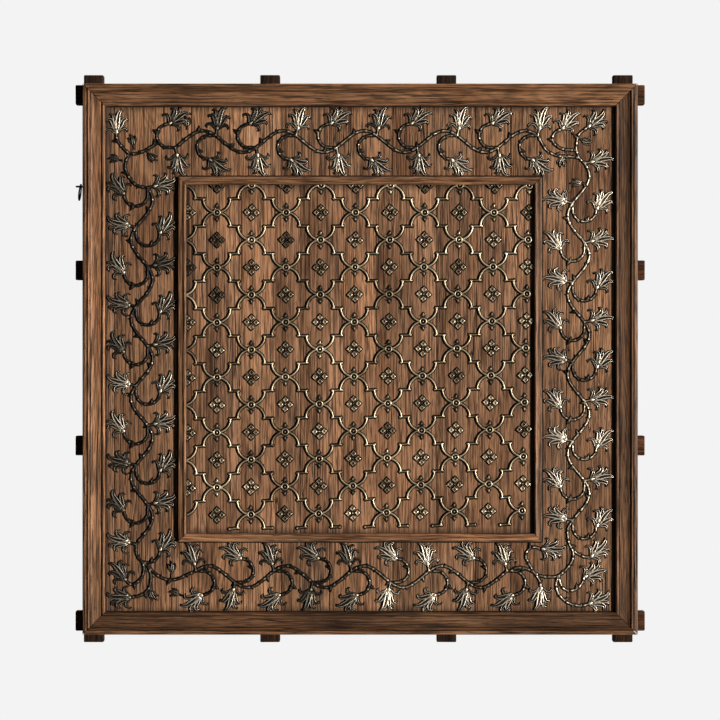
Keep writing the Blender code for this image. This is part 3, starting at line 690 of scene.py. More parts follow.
def carrier(name, points, edges, **values):
    """A bare mesh of points or lines in the panel's plane, with the numbers that a tree reads from it."""
    mesh = bpy.data.meshes.new(name)
    mesh.from_pydata([(x, 0.0, z) for x, z in points], edges, [])
    for label, numbers in values.items():
        mesh.attributes.new(label, "FLOAT", "POINT").data.foreach_set("value", numbers)
    return mesh


def ribbon(name, strokes, sides, widening, flatness, face_y, surface, stands_for, rub):
    """A ribbon along lines of points (x, z, half width, how much darker than its surroundings)."""
    points, edges, halves, rubs = [], [], [], []
    for number, stroke in enumerate(strokes):
        for i, (x, z, wide, *dip) in enumerate(stroke):
            if i:
                edges.append((len(points) - 1, len(points)))
            points.append((x, z))
            halves.append(wide)
            rubs.append(rub(number, x, z) - sum(dip))
    mesh = carrier(name + "_lines", points, edges, half_width=halves, rubbed=rubs)
    values = {"Sides": sides, "Widening": widening, "Flatness": flatness, "Face": face_y, "Surface": surface}
    return settle(name, mesh, wire_tree, values, stands_for)


def lattice_wear_and_light(number, x, z):
    """The lattice is painted lighter towards the upper right, on the side of the lamp, and worn unevenly all over."""
    patch = noise.noise(Vector((x * 6.0, z * 6.0, 3.0)))
    return 0.52 + x * (0.16 + 0.30 * (z - panel_z)) + 0.50 * patch


def clip_to_field(piece):
    """Cuts a piece off at the edges of the inner field, where the centre frame covers it."""
    bm = bmesh.new()
    bm.from_mesh(piece.data)
    half_x, half_z = field_half_w - FIELD_GAP, field_half_h - FIELD_GAP
    for axis, sign, limit in (
        (0, 1, panel_x + half_x), (0, -1, half_x - panel_x), (2, 1, panel_z + half_z), (2, -1, half_z - panel_z),
    ):
        normal = [0.0, 0.0, 0.0]
        normal[axis] = sign
        point = [v * limit for v in normal]
        kept = bm.verts[:] + bm.edges[:] + bm.faces[:]
        cut = bmesh.ops.bisect_plane(bm, geom=kept, plane_co=point, plane_no=normal, clear_outer=True)
        rim = [e for e in cut["geom_cut"] if isinstance(e, bmesh.types.BMEdge)]
        if rim:
            bmesh.ops.contextual_create(bm, geom=rim)
    bm.to_mesh(piece.data)
    bm.free()


flat = RIBBON_RISE / (RIBBON_W / 2)
clip_to_field(ribbon("lattice_ribbon", lattice_strokes, 10, 0.0, flat, inner_face, lattice_metal,
                     ["lattice"], lattice_wear_and_light))
# Painted shadow: the dark outline is shifted to the left, away from the lamp
shaded = [[(x - SHADOW_SHIFT, z, wide) for x, z, wide in stroke] for stroke in lattice_strokes]
clip_to_field(ribbon("lattice_grime", shaded, 6, LATTICE_SHADE, SHADE_FLATNESS, inner_face, shade_and_dirt,
                     ["lattice"], lattice_wear_and_light))


def make_form(name, build):
    """A small form, laid in the panel's plane round the origin, that a tree sets at many places."""
    bm = bmesh.new()
    build(bm)
    bmesh.ops.remove_doubles(bm, verts=bm.verts, dist=0.00001)
    bmesh.ops.recalc_face_normals(bm, faces=bm.faces)
    mesh = bpy.data.meshes.new(name)
    bm.to_mesh(mesh)
    bm.free()
    return bpy.data.objects.new(name, mesh)


def stamp(name, build, spots, face_y, surface, stands_for, rub=None):
    """Sets one form at many places (x, z, turn, size)."""
    mesh = carrier(name + "_points", [spot[:2] for spot in spots], [],
                   turn=[spot[2] for spot in spots], size=[spot[3] for spot in spots],
                   rubbed=[rub(i, *spot[:2]) if rub else 0.0 for i, spot in enumerate(spots)])
    values = {"Form": make_form(name + "_form", build), "Face": face_y, "Surface": surface}
    return settle(name, mesh, stamp_tree, values, stands_for)


def circle(bm, radius, y, around):
    turns = [2 * math.pi * k / around for k in range(around)]
    return [bm.verts.new((radius * math.cos(a), y, radius * math.sin(a))) for a in turns]


def dome(bm, radius, rise, around=8, up=3):
    """A round boss standing on the face, towards the front."""
    turns = [math.pi / 2 * i / up for i in range(up)]
    rings = [circle(bm, radius * math.cos(turn), -rise * math.sin(turn), around) for turn in turns]
    skin(bm, rings)
    top = bm.verts.new((0.0, -rise, 0.0))
    for i in range(around):
        bm.faces.new((rings[-1][i], rings[-1][(i + 1) % around], top))
    bm.faces.new(rings[0])


def band(bm, radius, half, rise, around):
    """A flat-footed round ring: outer foot, crest, inner foot."""
    profile = [(radius + half, 0.0), (radius + 0.6 * half, -0.8 * rise), (radius, -rise),
               (radius - 0.6 * half, -0.8 * rise), (radius - half, 0.0)]
    rings = [circle(bm, r, y, around) for r, y in profile]
    skin(bm, rings + rings[:1])


# Across a blade: share of the half width, share of the rise, and how sunk it is
VEINED = ((-1.0, 0.0, 1.0), (-0.74, 0.98, 0.0), (-0.46, 0.68, 0.45), (0.0, 0.50, 0.72), (0.46, 0.68, 0.45),
          (0.74, 0.98, 0.0), (1.0, 0.0, 1.0))
ROUNDED = ((-1.0, 0.0, 1.0), (-0.6, 0.8, 0.0), (0.0, 1.0, 0.0), (0.6, 0.8, 0.0), (1.0, 0.0, 1.0))
BLADE_SINK = 0.0003


def blade(bm, spine, halves, rise, section=ROUNDED):
    """A pointed blade along a spine of (x, z). A veined one has raised edges and a hollow between them.
    The layer named sunk marks where dirt stays."""
    layer = bm.verts.layers.float.get("sunk") or bm.verts.layers.float.new("sunk")
    rows = []
    last = len(spine) - 1
    for i, (x, z) in enumerate(spine[:-1]):
        before, after = spine[max(i - 1, 0)], spine[i + 1]
        heading = Vector((after[0] - before[0], after[1] - before[1])).normalized()
        side = Vector((-heading.y, heading.x))
        fall = 0.72 + 0.28 * math.sin(math.pi * min(1.0, (i + 0.5) / last))
        row = []
        for s, h, low in section:
            y = BLADE_SINK - h * rise * fall
            row.append(bm.verts.new((x + side.x * s * halves[i], y, z + side.y * s * halves[i])))
            row[-1][layer] = low
        rows.append(row)
    tip = bm.verts.new((spine[-1][0], BLADE_SINK - 0.35 * rise, spine[-1][1]))
    for one, two in zip(rows, rows[1:]):
        for k in range(len(section) - 1):
            bm.faces.new((one[k], one[k + 1], two[k + 1], two[k]))
        bm.faces.new((one[0], two[0], two[-1], one[-1]))
    for k in range(len(section) - 1):
        bm.faces.new((rows[-1][k], rows[-1][k + 1], tip))
    bm.faces.new((rows[-1][0], tip, rows[-1][-1]))
    bm.faces.new(rows[0][::-1])


def smooth_line(points, steps):
    """A smooth curve through the points, with so many steps between each two."""
    ends = [Vector(p) for p in points]
    ends = [2 * ends[0] - ends[1]] + ends + [2 * ends[-1] - ends[-2]]
    made = []
    for a, b, c, d in zip(ends, ends[1:], ends[2:], ends[3:]):
        for i in range(steps):
            t = i / steps
            made.append(0.5 * (2 * b + (c - a) * t + (2 * a - 5 * b + 4 * c - d) * t * t
                               + (3 * b - a - 3 * c + d) * t ** 3))
    made.append(ends[-2])
    return [tuple(p) for p in made]


def blades(*parts, section=ROUNDED):
    """What builds a form of blades, each given as its spine's points, steps between them, half widths and rise."""
    def build(bm):
        for points, steps, halves, rise in parts:
            blade(bm, smooth_line(points, steps), halves, rise, section)
    return build


RING_R = 0.0090
RING_HALF = 0.0026
RING_RISE = 0.0054
NAIL_R = 0.0036
NAIL_RISE = 0.0049
BALL_R = 0.0047
BALL_RISE = 0.0046
BEAD_R = 0.0024
BEAD_RISE = 0.0028
RING_SHADE, RING_SHADE_RISE = 0.0024, 0.0005
BALL_SHADE, BALL_SHADE_RISE = 0.0022, 0.0006
SHOWN_MARGIN = 0.002


def ring_with_nail(bm):
    band(bm, RING_R, RING_HALF, RING_RISE, 20)
    dome(bm, NAIL_R, NAIL_RISE)


# The three-lobed spear that stands above and below each ring, and the painted shade under it
LOBE = (0.0016, 0.0025, 0.0032, 0.0032, 0.0027, 0.0017, 0.0)
spear_bud = blades(
    (((0.0130, 0.0), (0.0195, 0.0), (0.0280, 0.0)), 3, (0.0018, 0.0024, 0.0036, 0.0054, 0.0046, 0.0024, 0.0), 0.0044),
    (((0.0150, 0.0), (0.0166, -0.0050), (0.0150, -0.0104)), 3, LOBE, 0.0038),
    (((0.0150, 0.0), (0.0166, 0.0050), (0.0150, 0.0104)), 3, LOBE, 0.0038),
)
bud_shadow = blades(
    (((0.0115, 0.0), (0.0195, 0.0), (0.0300, 0.0)), 3, (0.0030, 0.0052, 0.0088, 0.0094, 0.0068, 0.0042, 0.0), 0.0006),
)
rings_at = [(x, z, 0.0, 1.0) for x, z in lattice_rings]
buds_at = [(x, z, side * math.pi / 2, 1.0) for x, z in lattice_rings for side in (-1, 1)]
balls_at = [(x, z, 0.0, 1.0) for x, z in lattice_balls if in_field((x, z), SHOWN_MARGIN)]
beads_at = []
for one, two in lattice_beads:
    heading = (Vector(two) - Vector(one)).normalized()
    side = Vector((-heading.y, heading.x)) * BEAD_OFF
    beads_at += [(one[0] + side.x, one[1] + side.y, 0.0, 1.0), (two[0] - side.x, two[1] - side.y, 0.0, 1.0)]
beads_at = [spot for spot in beads_at if in_field(spot, SHOWN_MARGIN)]
# The forms in the near-black material are outlines of painted shade round the rings, spears and balls
for name, build, spots, surface in (
    ("rings", ring_with_nail, rings_at, lattice_metal),
    ("bud_grime", bud_shadow, buds_at, shade_and_dirt),
    ("ring_grime", lambda bm: dome(bm, RING_R + RING_HALF + RING_SHADE, RING_SHADE_RISE, 12, 2), rings_at, shade_and_dirt),
    ("buds", spear_bud, buds_at, lattice_metal),
    ("ball_grime", lambda bm: dome(bm, BALL_R + BALL_SHADE, BALL_SHADE_RISE, 8, 2), balls_at, shade_and_dirt),
    ("balls", lambda bm: dome(bm, BALL_R, BALL_RISE, 8, 3), balls_at, lattice_metal),
    ("beads", lambda bm: dome(bm, BEAD_R, BEAD_RISE, 6, 2), beads_at, lattice_metal),
):
    clip_to_field(stamp(f"lattice_{name}", build, spots, inner_face, surface, ["lattice"], lattice_wear_and_light))

# Rosettes
# Small cast rosettes nailed between the rings: four kite-shaped petals with raised rims and sunk middles.
# They are the same metal as the lattice, some gone black and some rubbed bright.
PETAL_REACH = 0.0245
PETAL_HALF = 0.0096
PETAL_RISE = 0.0042
PETAL_MIDDLE = 0.58
LEFT_COLUMN = 0.0040
BOSS_R, BOSS_RISE = 0.0030, 0.0036
# Along and across a petal, and its rings as shares of the outline and heights from the foot up
KITE = ((0.17, 0.0), (0.38, 0.40), (0.50, 0.96), (0.66, 0.90), (0.73, 0.42), (1.0, 0.0), (0.73, -0.42),
        (0.66, -0.90), (0.50, -0.96), (0.38, -0.40))
KITE_RINGS = ((1.0, 0.0003), (0.88, -0.85 * PETAL_RISE), (0.66, -PETAL_RISE), (0.40, -0.60 * PETAL_RISE))
KITE_SHADE = ((0.0, 0.0), (0.34, 0.74), (0.59, 1.28), (0.84, 0.80), (1.11, 0.0), (0.84, -0.80), (0.59, -1.28),
             (0.34, -0.74))


def kite_ring(bm, number, outline, y):
    """A ring of vertices round one of the four petals."""
    turn = math.pi / 2 * number
    cos, sin = math.cos(turn), math.sin(turn)
    return [bm.verts.new((u * PETAL_REACH * cos - v * PETAL_HALF * sin, y,
                          u * PETAL_REACH * sin + v * PETAL_HALF * cos))
            for u, v in outline]


def kite_petals(bm):
    for number in range(4):
        rings = []
        for scale, y in KITE_RINGS:
            outline = [(PETAL_MIDDLE + (along - PETAL_MIDDLE) * scale, across * scale) for along, across in KITE]
            rings.append(kite_ring(bm, number, outline, y))
        skin(bm, rings, (rings[0], rings[-1]))
    dome(bm, BOSS_R, BOSS_RISE)


def kite_shadow(bm):
    for number in range(4):
        # Each lies a little higher than the last, so that no two tops share a plane
        rings = [kite_ring(bm, number, KITE_SHADE, y) for y in (0.0002, -0.0004 - 0.0001 * number)]
        skin(bm, rings, rings)


rosettes = []
chance = random.Random(11)
for row in range(-1, last_row + 1):
    for column in range(0 if row % 2 else -1, last_column + 1, 2):
        x, z = lattice_point(column, row)
        if column < 0:
            # The left column is crowded in, so that it shows from its middle outwards
            x = panel_x - field_half_w + LEFT_COLUMN
        rosettes.append((x, z, math.radians(chance.uniform(-4, 4)), chance.uniform(0.95, 1.0)))
rosette_rubs = [chance.uniform(0.44, 0.98) for _ in rosettes]
inner_names = [f"inner_board_{number}" for number in range(1, 10)]
# The rosettes are painted lighter towards the right and the bottom, as lit from there; the random spread is wear
clip_to_field(stamp("rosettes", kite_petals, rosettes, inner_face, lattice_metal, inner_names,
                    lambda i, x, z: rosette_rubs[i] + 0.2 * x + 0.3 * (panel_z - z)))
# An outline of painted shade round each rosette
clip_to_field(stamp("rosette_grime", kite_shadow, rosettes, inner_face, shade_and_dirt, inner_names))

# Vine scroll
# A cast vine nailed round the border: one stem that waves along each side, throws a curl inwards at every
# joint, and carries a lily seen from the side on each stalk and curl. The same metal as the lattice.
VINE_MARGIN = 0.0015
FLOWER_RISE = 0.0058
band_x = (half_w - RAIL_W + centre_half_w) / 2
band_z = (half_h - RAIL_W + centre_half_h) / 2
vine_half = min(half_w - RAIL_W - centre_half_w, half_h - RAIL_W - centre_half_h) / 2 - VINE_MARGIN
unit = 1.14 * vine_half
wave_rise = 0.31 * vine_half
lead = 0.36 * vine_half
curl_r = 0.34 * vine_half
curl_back = 0.19 * vine_half
curl_drop = 0.34 * vine_half
stalk = 0.18 * vine_half
flower_l = 0.64 * vine_half
CURL_START, CURL_STOP = math.radians(100), math.radians(272)
STALK_LEAN, TIP_LEAN = math.radians(77), math.radians(-36)
STEM_HALF = 0.0035
STEM_RISE = 0.0050
STEM_SHADE = 0.0033
FLOWER_SHADE = 0.0028
THORN_LEAN = math.radians(52)
THORN_SIZE, LONG_THORN_SIZE = 1.25, 2.1
COLLAR_PITCH = 0.026
WAVE_STEPS = 30
CURL_STEPS = 26
CURL_LEAF = 15
# The vine is the paler and brighter of the two, and draws the eye round the border
vine_metal = tarnished("tarnished white brass vine", board_face, FLOWER_RISE, "#f0e8da", "#968c79", 0.42)


class Side:
    """One side of the border: where it lies, which way the vine grows, and its row of joints."""

    def __init__(self, off, span, grow, out, first, last, odd, first_side):
        self.off, self.grow, self.out, self.first_side = off, grow, out, first_side
        length = 2 * span - (first + last) * vine_half
        steps = odd + 2 * round((length / unit - odd) / 2)
        self.start = -span + first * vine_half
        self.pitch = length / steps
        self.count = steps + 1

    def place(self, run, rise):
        off = self.off + rise
        return (panel_x + self.grow[0] * run + self.out[0] * off, panel_z + self.grow[1] * run + self.out[1] * off)

    def heading(self, angle):
        cos, sin = math.cos(angle), math.sin(angle)
        return math.atan2(self.grow[1] * cos + self.out[1] * sin, self.grow[0] * cos + self.out[0] * sin)

    def wave(self, run):
        return self.first_side * wave_rise * math.cos(math.pi * (run - self.start + lead) / self.pitch)

    def joint(self, number):
        run = self.start + self.pitch * (number % self.count)
        return run, self.wave(run)


BORDER = {
    "top": Side(band_z, band_x, (1, 0), (0, 1), 0.96, 1.17, 1, -1),
    "right": Side(band_x, band_z, (0, 1), (1, 0), 1.62, 0.63, 1, -1),
    "bottom": Side(band_z, band_x, (-1, 0), (0, -1), 2.06, 1.56, 0, -1),
    "left": Side(band_x, band_z, (0, 1), (-1, 0), 0.93, 1.33, 1, 1),
}
vine_strokes, vine_flowers, vine_leaves = [], [], []


def lay_stem(points, taper=1.0):
    """A stem with a swollen collar about every 26 mm, and a thorn beside each."""
    run = 0.0
    stroke = []
    previous = points[0]
    number = 0
    for x, z in points:
        step = math.dist((x, z), previous)
        run += step
        swell = math.exp(-((run % COLLAR_PITCH - COLLAR_PITCH / 2) / 0.0024) ** 2)
        notch = math.exp(-(((run + 0.0042) % COLLAR_PITCH - COLLAR_PITCH / 2) / 0.0022) ** 2)
        stroke.append((x, z, STEM_HALF * taper * (0.86 + 0.38 * swell - 0.16 * notch), 0.55 * notch))
        if step and int(run / COLLAR_PITCH) != int((run - step) / COLLAR_PITCH):
            number += 1
            heading = math.atan2(z - previous[1], x - previous[0])
            side = 1 if number % 2 else -1
            size = LONG_THORN_SIZE if number % 4 == 3 else THORN_SIZE
            vine_leaves.append((x, z, heading + side * THORN_LEAN, size))
        previous = (x, z)
    vine_strokes.append(stroke)


def lay_side(name, side):
    steps = (side.count - 1) * WAVE_STEPS
    runs = [side.start + side.pitch * (i / WAVE_STEPS) for i in range(steps + 1)]
    lay_stem([side.place(run, side.wave(run)) for run in runs])
    for number in range(side.count):
        hand = side.first_side * (-1) ** number
        run, rise = side.joint(number)
        lean = hand * STALK_LEAN
        foot = side.place(run + stalk * math.cos(lean), rise + stalk * math.sin(lean))
        root = side.place(run, rise)
        halfway = ((root[0] + foot[0]) / 2, (root[1] + foot[1]) / 2)
        vine_strokes.append([(*root, STEM_HALF), (*halfway, STEM_HALF * 0.8), (*foot, STEM_HALF * 0.9)])
        vine_flowers.append((*foot, side.heading(lean), hand))
        if (name, number) == ("right", side.count - 1):
            continue
        curl = []
        for i in range(CURL_STEPS + 1):
            angle = CURL_START + (CURL_STOP - CURL_START) * i / CURL_STEPS
            curl.append((run - curl_back + curl_r * math.cos(angle),
                         rise + hand * (curl_r * math.sin(angle) - curl_drop)))
        places = [side.place(*p) for p in [(run, rise)] + curl]
        lay_stem(smooth_line([places[0], places[1]], 5)[:-1] + places[1:], 0.9)
        vine_flowers.append((*places[-1], side.heading(hand * TIP_LEAN), -hand))
        toward = side.heading(0.0) + hand * math.radians(-25)
        vine_leaves.append((*places[CURL_LEAF], toward, 1.5))


for name, side in BORDER.items():
    lay_side(name, side)

# The corner stems, as shares of the vine's half width from the crossing of the two sides' middle lines:
# the joint that it starts from, its points, the heading of its flower, and the end that meets a stem
CORNER_STEMS = {
    (-1, 1): [
        (("left", -1), [(-0.13, -1.27), (-0.32, -1.10), (-0.46, -0.83), (-0.47, -0.61), (-0.38, -0.36),
                        (-0.54, -0.19), (-0.71, 0.05), (-0.73, 0.24)], 85, None),
        (None, [(-0.38, -0.36), (-0.18, -0.35), (0.04, -0.28), (0.30, -0.12)], None, -1),
    ],
    (1, 1): [
        (("right", -1), [(0.02, -0.47), (-0.06, -0.25), (-0.05, 0.00), (0.02, 0.22), (0.27, 0.42)], 37, None),
        (("top", -1), [(-0.97, -0.19), (-0.81, -0.32), (-0.59, -0.42), (-0.34, -0.42), (0.02, -0.47)], None, None),
        (None, [(-0.06, -0.25), (-0.28, -0.24), (-0.50, -0.20), (-0.70, -0.06), (-0.75, 0.11), (-0.67, 0.27),
                (-0.48, 0.36)], 50, None),
    ],
    (1, -1): [
        (("right", 0), [(-0.31, 1.39), (-0.31, 1.20), (-0.28, 0.98), (-0.20, 0.81), (-0.15, 0.65), (-0.20, 0.43),
                        (-0.34, 0.23), (-0.56, 0.04), (-0.83, -0.01), (-1.11, 0.03), (-1.28, 0.12), (-1.50, 0.23),
                        (-1.75, 0.26), (-1.96, 0.20)], None, -1),
        (None, [(-0.20, 0.81), (-0.04, 0.67), (0.18, 0.57), (0.35, 0.57)], 42, None),
        (None, [(-0.56, 0.04), (-0.52, -0.20), (-0.40, -0.36), (-0.22, -0.40), (-0.04, -0.34), (0.10, -0.18),
                (0.16, -0.01)], 22, None),
        (None, [(-0.56, 0.04), (-0.65, -0.22), (-0.58, -0.48), (-0.42, -0.67), (-0.23, -0.78), (0.05, -0.84),
                (0.30, -0.78)], 22, None),
        (None, [(-1.28, 0.12), (-1.14, -0.08), (-1.08, -0.30)], 262, None),
        (None, [(-1.28, 0.12), (-1.44, 0.40), (-1.52, 0.57), (-1.46, 0.76), (-1.30, 0.85), (-1.05, 0.80)], -3,
         None),
    ],
    (-1, -1): [
        (("bottom", -1), [(1.28, 0.05), (1.05, -0.06), (0.80, -0.09), (0.57, -0.03), (0.37, 0.10), (0.18, 0.29)],
         None, None),
        (None, [(0.18, 0.29), (0.02, 0.52)], None, -1),
        (None, [(0.18, 0.29), (0.26, 0.02), (0.23, -0.27), (0.12, -0.43), (-0.10, -0.56), (-0.32, -0.59)], 180, None),
        (None, [(0.02, 0.52), (0.06, 0.26), (0.01, 0.01), (-0.13, -0.15), (-0.32, -0.22), (-0.46, -0.10)], 125, 0),
    ],
}
for (right, up), stems in CORNER_STEMS.items():
    for joint, shares, bloom, meets in stems:
        corner_x, corner_z = panel_x + right * band_x, panel_z + up * band_z
        points = [(corner_x + vine_half * x, corner_z + vine_half * z) for x, z in shares]
        if meets is not None:
            stemmed = [spot[:2] for stroke in vine_strokes for spot in stroke]
            points[meets] = min(stemmed, key=lambda p: math.dist(p, points[meets]))
        if joint:
            points.insert(0, BORDER[joint[0]].place(*BORDER[joint[0]].joint(joint[1])))
        line_points = smooth_line(points, 7)
        lay_stem(line_points, 0.95)
        if bloom is not None:
            vine_flowers.append((*line_points[-1], math.radians(bloom), 1 if len(vine_flowers) % 2 else -1))


def vine_wear_and_light(number, x, z):
    """The vine is painted lighter at the right, on the side of the lamp, less at the left, and least in the middle of
    the top and bottom; it is also worn unevenly.
    """
    patch = noise.noise(Vector((x * 4.0, z * 4.0, 8.0)))
    return 0.62 + 0.27 * x + 0.24 * x * x + 0.45 * patch


flat = STEM_RISE / STEM_HALF
ribbon("vine_stems", vine_strokes, 8, 0.0, flat, board_face, vine_metal, ["vine_scroll"], vine_wear_and_light)
# Outlines of painted shade round the stems
ribbon("vine_grime", vine_strokes, 6, STEM_SHADE, SHADE_FLATNESS, board_face, shade_and_dirt, ["vine_scroll"], vine_wear_and_light)

# Each petal's spine in shares of the flower's length, its half width likewise, and its share of the rise
PETALS = (
    (((0.02, 0.03), (0.13, 0.16), (0.20, 0.30), (0.16, 0.43), (0.05, 0.50), (-0.03, 0.45)), 0.078, 0.78),
    (((0.04, -0.03), (0.18, -0.15), (0.27, -0.28), (0.27, -0.40), (0.18, -0.49), (0.10, -0.47)), 0.078, 0.78),
    (((0.10, 0.03), (0.34, 0.14), (0.53, 0.25), (0.60, 0.36), (0.54, 0.47), (0.46, 0.49)), 0.110, 0.90),
    (((0.10, -0.03), (0.34, -0.14), (0.54, -0.23), (0.66, -0.31), (0.66, -0.42), (0.59, -0.47)), 0.110, 0.90),
    (((0.12, 0.02), (0.40, 0.09), (0.64, 0.15), (0.80, 0.22), (0.84, 0.33), (0.79, 0.38)), 0.085, 0.86),
    (((0.10, 0.00), (0.36, 0.00), (0.64, -0.01), (0.88, -0.04), (1.02, -0.13), (1.04, -0.22)), 0.125, 1.00),
)


def petal_halves(count, widest):
    """Widest a third of the way along, then drawn out to a narrow tip."""
    return [widest * math.sin(math.pi * (0.16 + 0.84 * i / (count - 1)) ** 0.62) if i < count - 1 else 0.0
            for i in range(count)]


def lily(hand):
    def build(bm):
        for spine, widest, rise in PETALS:
            points = smooth_line([(u * flower_l, hand * v * flower_l) for u, v in spine], 2)
            halves = [h * flower_l for h in petal_halves(len(points), widest)]
            blade(bm, points, halves, FLOWER_RISE * rise, VEINED)
        calyx = smooth_line([(u * flower_l, 0.0) for u in (-0.03, 0.07, 0.24)], 3)
        halves = [h * flower_l for h in (0.05, 0.09, 0.11, 0.10, 0.07, 0.04, 0.0)]
        blade(bm, calyx, halves, FLOWER_RISE * 0.86)
    return build


# An outline of painted shade round each lily
def lily_shade(hand):
    def build(bm):
        for number, (spine, widest, _) in enumerate(PETALS):
            points = smooth_line([(u * flower_l, hand * v * flower_l) for u, v in spine], 1)
            heading = (Vector(points[-1]) - Vector(points[-2])).normalized() * FLOWER_SHADE
            points.append((points[-1][0] + heading.x, points[-1][1] + heading.y))
            halves = [h * flower_l + FLOWER_SHADE for h in petal_halves(len(points) - 1, widest)] + [0.0]
            blade(bm, points, halves, 0.0006 + 0.00008 * number)
    return build


for hand, label in ((1, "left"), (-1, "right")):
    spots = [(x, z, turn, 1.0) for x, z, turn, side in vine_flowers if side == hand]
    chance = random.Random(30 + hand)
    # The flowers' random wear differs less at the right, where the vine is painted lightest
    rubs = [chance.uniform(-1.0, 1.0) * (0.12 if x > 0.2 else 0.26) for x, _, _, _ in spots]
    stamp(f"vine_lilies_{label}", lily(hand), spots, board_face, vine_metal, ["vine_scroll"],
          lambda i, x, z: vine_wear_and_light(i, x, z) + rubs[i] + 0.36)
    stamp(f"vine_lily_grime_{label}", lily_shade(hand), spots, board_face, shade_and_dirt, ["vine_scroll"])

thorn_leaf = blades(
    (((0.0, 0.0), (0.0035, 0.0003), (0.0075, 0.0016)), 2, (0.0020, 0.0021, 0.0018, 0.0011, 0.0), 0.0036),
)
# An outline of painted shade round each thorn
thorn_shade = blades(
    (((0.0, 0.0), (0.0040, 0.0003), (0.0092, 0.0018)), 2, (0.0042, 0.0042, 0.0036, 0.0024, 0.0), 0.0006),
)
stamp("vine_thorn_grime", thorn_shade, vine_leaves, board_face, shade_and_dirt, ["vine_scroll"])
stamp("vine_thorns", thorn_leaf, vine_leaves, board_face, vine_metal, ["vine_scroll"], vine_wear_and_light)

# A bud on a short stalk: a pointed leaf between two that curl back
small_bud = blades(
    (((-0.001, 0.0), (0.010, -0.001), (0.021, 0.001), (0.031, 0.007)), 3, petal_halves(10, 0.0046), 0.0050),
    (((0.002, 0.001), (0.009, 0.007), (0.018, 0.010), (0.020, 0.016)), 3, petal_halves(10, 0.0032), 0.0042),
    (((0.002, -0.001), (0.009, -0.006), (0.018, -0.008), (0.026, -0.006)), 3, petal_halves(10, 0.0030), 0.0040),
    section=VEINED,
)
# Outlines of painted shade round each bud
bud_grime = blades(
    (((-0.003, 0.0), (0.010, 0.000), (0.021, 0.001), (0.034, 0.009)), 2,
     (0.0034, 0.0056, 0.0074, 0.0076, 0.0066, 0.0044, 0.0), 0.0006),
    (((0.000, 0.001), (0.009, 0.007), (0.018, 0.010), (0.021, 0.019)), 2,
     (0.0034, 0.0050, 0.0058, 0.0058, 0.0050, 0.0036, 0.0), 0.0007),
    (((0.000, -0.001), (0.009, -0.006), (0.018, -0.008), (0.029, -0.006)), 2,
     (0.0034, 0.0048, 0.0056, 0.0056, 0.0048, 0.0034, 0.0), 0.0008),
)
# Pixels of the photograph, 720 across, are 2.8834 mm each on the panel's face
PIXEL = 0.0028834
PIXEL_MIDDLE = (360.15, 359.15)
STALK_SHARE = 0.45
STALK_HALF = 0.0019
STALK_TIP_HALF = 0.0016
STALK_FLATNESS = 1.7
STALK_SHADE = 0.0022
STALK_SHADE_FLATNESS = 0.12
BUDS = (
    ((134, 150), (132.5, 138)), ((146, 151), (152, 158)), ((123, 161), (113, 158)), ((187, 130), (187, 122)),
    ((577, 138), (588, 142)), ((566, 154), (561, 162)), ((586, 184), (574, 182)), ((171, 578), (172.5, 564)),
    ((149.5, 588), (152.5, 595)), ((183, 596), (174, 592)),
)


def from_photo(across, down):
    return panel_x + (across - PIXEL_MIDDLE[0]) * PIXEL, panel_z + (PIXEL_MIDDLE[1] - down) * PIXEL


buds, bud_stalks = [], []
for foot_pixel, tip_pixel in BUDS:
    foot, tip = from_photo(*foot_pixel), from_photo(*tip_pixel)
    turn = math.atan2(tip[1] - foot[1], tip[0] - foot[0])
    neck = (foot[0] + (tip[0] - foot[0]) * STALK_SHARE, foot[1] + (tip[1] - foot[1]) * STALK_SHARE)
    bud_stalks.append([(*foot, STALK_HALF), (*neck, STALK_TIP_HALF)])
    buds.append((*neck, turn, 1.0))
ribbon("vine_bud_stalks", bud_stalks, 8, 0.0, STALK_FLATNESS, board_face, vine_metal, ["vine_scroll"], vine_wear_and_light)
stamp("vine_bud_grime", bud_grime, buds, board_face, shade_and_dirt, ["vine_scroll"])
# An outline of painted shade round each bud's stalk
ribbon("vine_bud_stalk_grime", bud_stalks, 6, STALK_SHADE, STALK_SHADE_FLATNESS, board_face, shade_and_dirt,
       ["vine_scroll"], vine_wear_and_light)
stamp("vine_buds", small_bud, buds, board_face, vine_metal, ["vine_scroll"],
      lambda i, x, z: vine_wear_and_light(i, x, z) + 0.35)

# Iron pin and ring
# A round iron pin driven into the left rail, with a small ring of round wire hanging loose on it. Both are
# forged from black iron, and nothing but the pin's own grip holds them.

# Black forged iron: dull, with hammer marks 3 mm across and finer scale, so that it reads as a dark shape
# with a faint edge of light
iron, tree, shader = new_surface("black forged iron")
scale = even_noise(tree, add_node(tree, "ShaderNodeTexCoord").outputs["Object"], 330.0, 4.0)
set_inputs(tree, shader, {
    "Base Color": blend_colour(tree, share(tree, scale, 0.35, 0.7), linear("#0b0a09"), linear("#241b15")),
    "Metallic": 0.7,
    "Roughness": share(tree, scale, 0.3, 0.7, 0.5, 0.75),
    "Normal": bump(tree, 0.6, 0.0005, scale),
})

PIN_SIDES = 20
low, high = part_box("iron_pin")
pin_middle = ((low[1] + high[1]) / 2, (low[2] + high[2]) / 2)
pin_r = (high[2] - low[2]) / 2
bm = bmesh.new()
pin_profile = [(low[0], 0.55), (low[0] + 0.0008, 0.90), (low[0] + 0.0020, 1.0), (high[0], 1.0)]
rings = []
for x, r in pin_profile:
    rings.append([bm.verts.new((x, pin_middle[0] + pin_r * r * math.cos(a), pin_middle[1] + pin_r * r * math.sin(a)))
                  for a in [2 * math.pi * k / PIN_SIDES for k in range(PIN_SIDES)]])
skin(bm, rings, (rings[0], rings[-1]))
bmesh.ops.recalc_face_normals(bm, faces=bm.faces)
add_piece("forged_pin", bm, iron, ["iron_pin"])

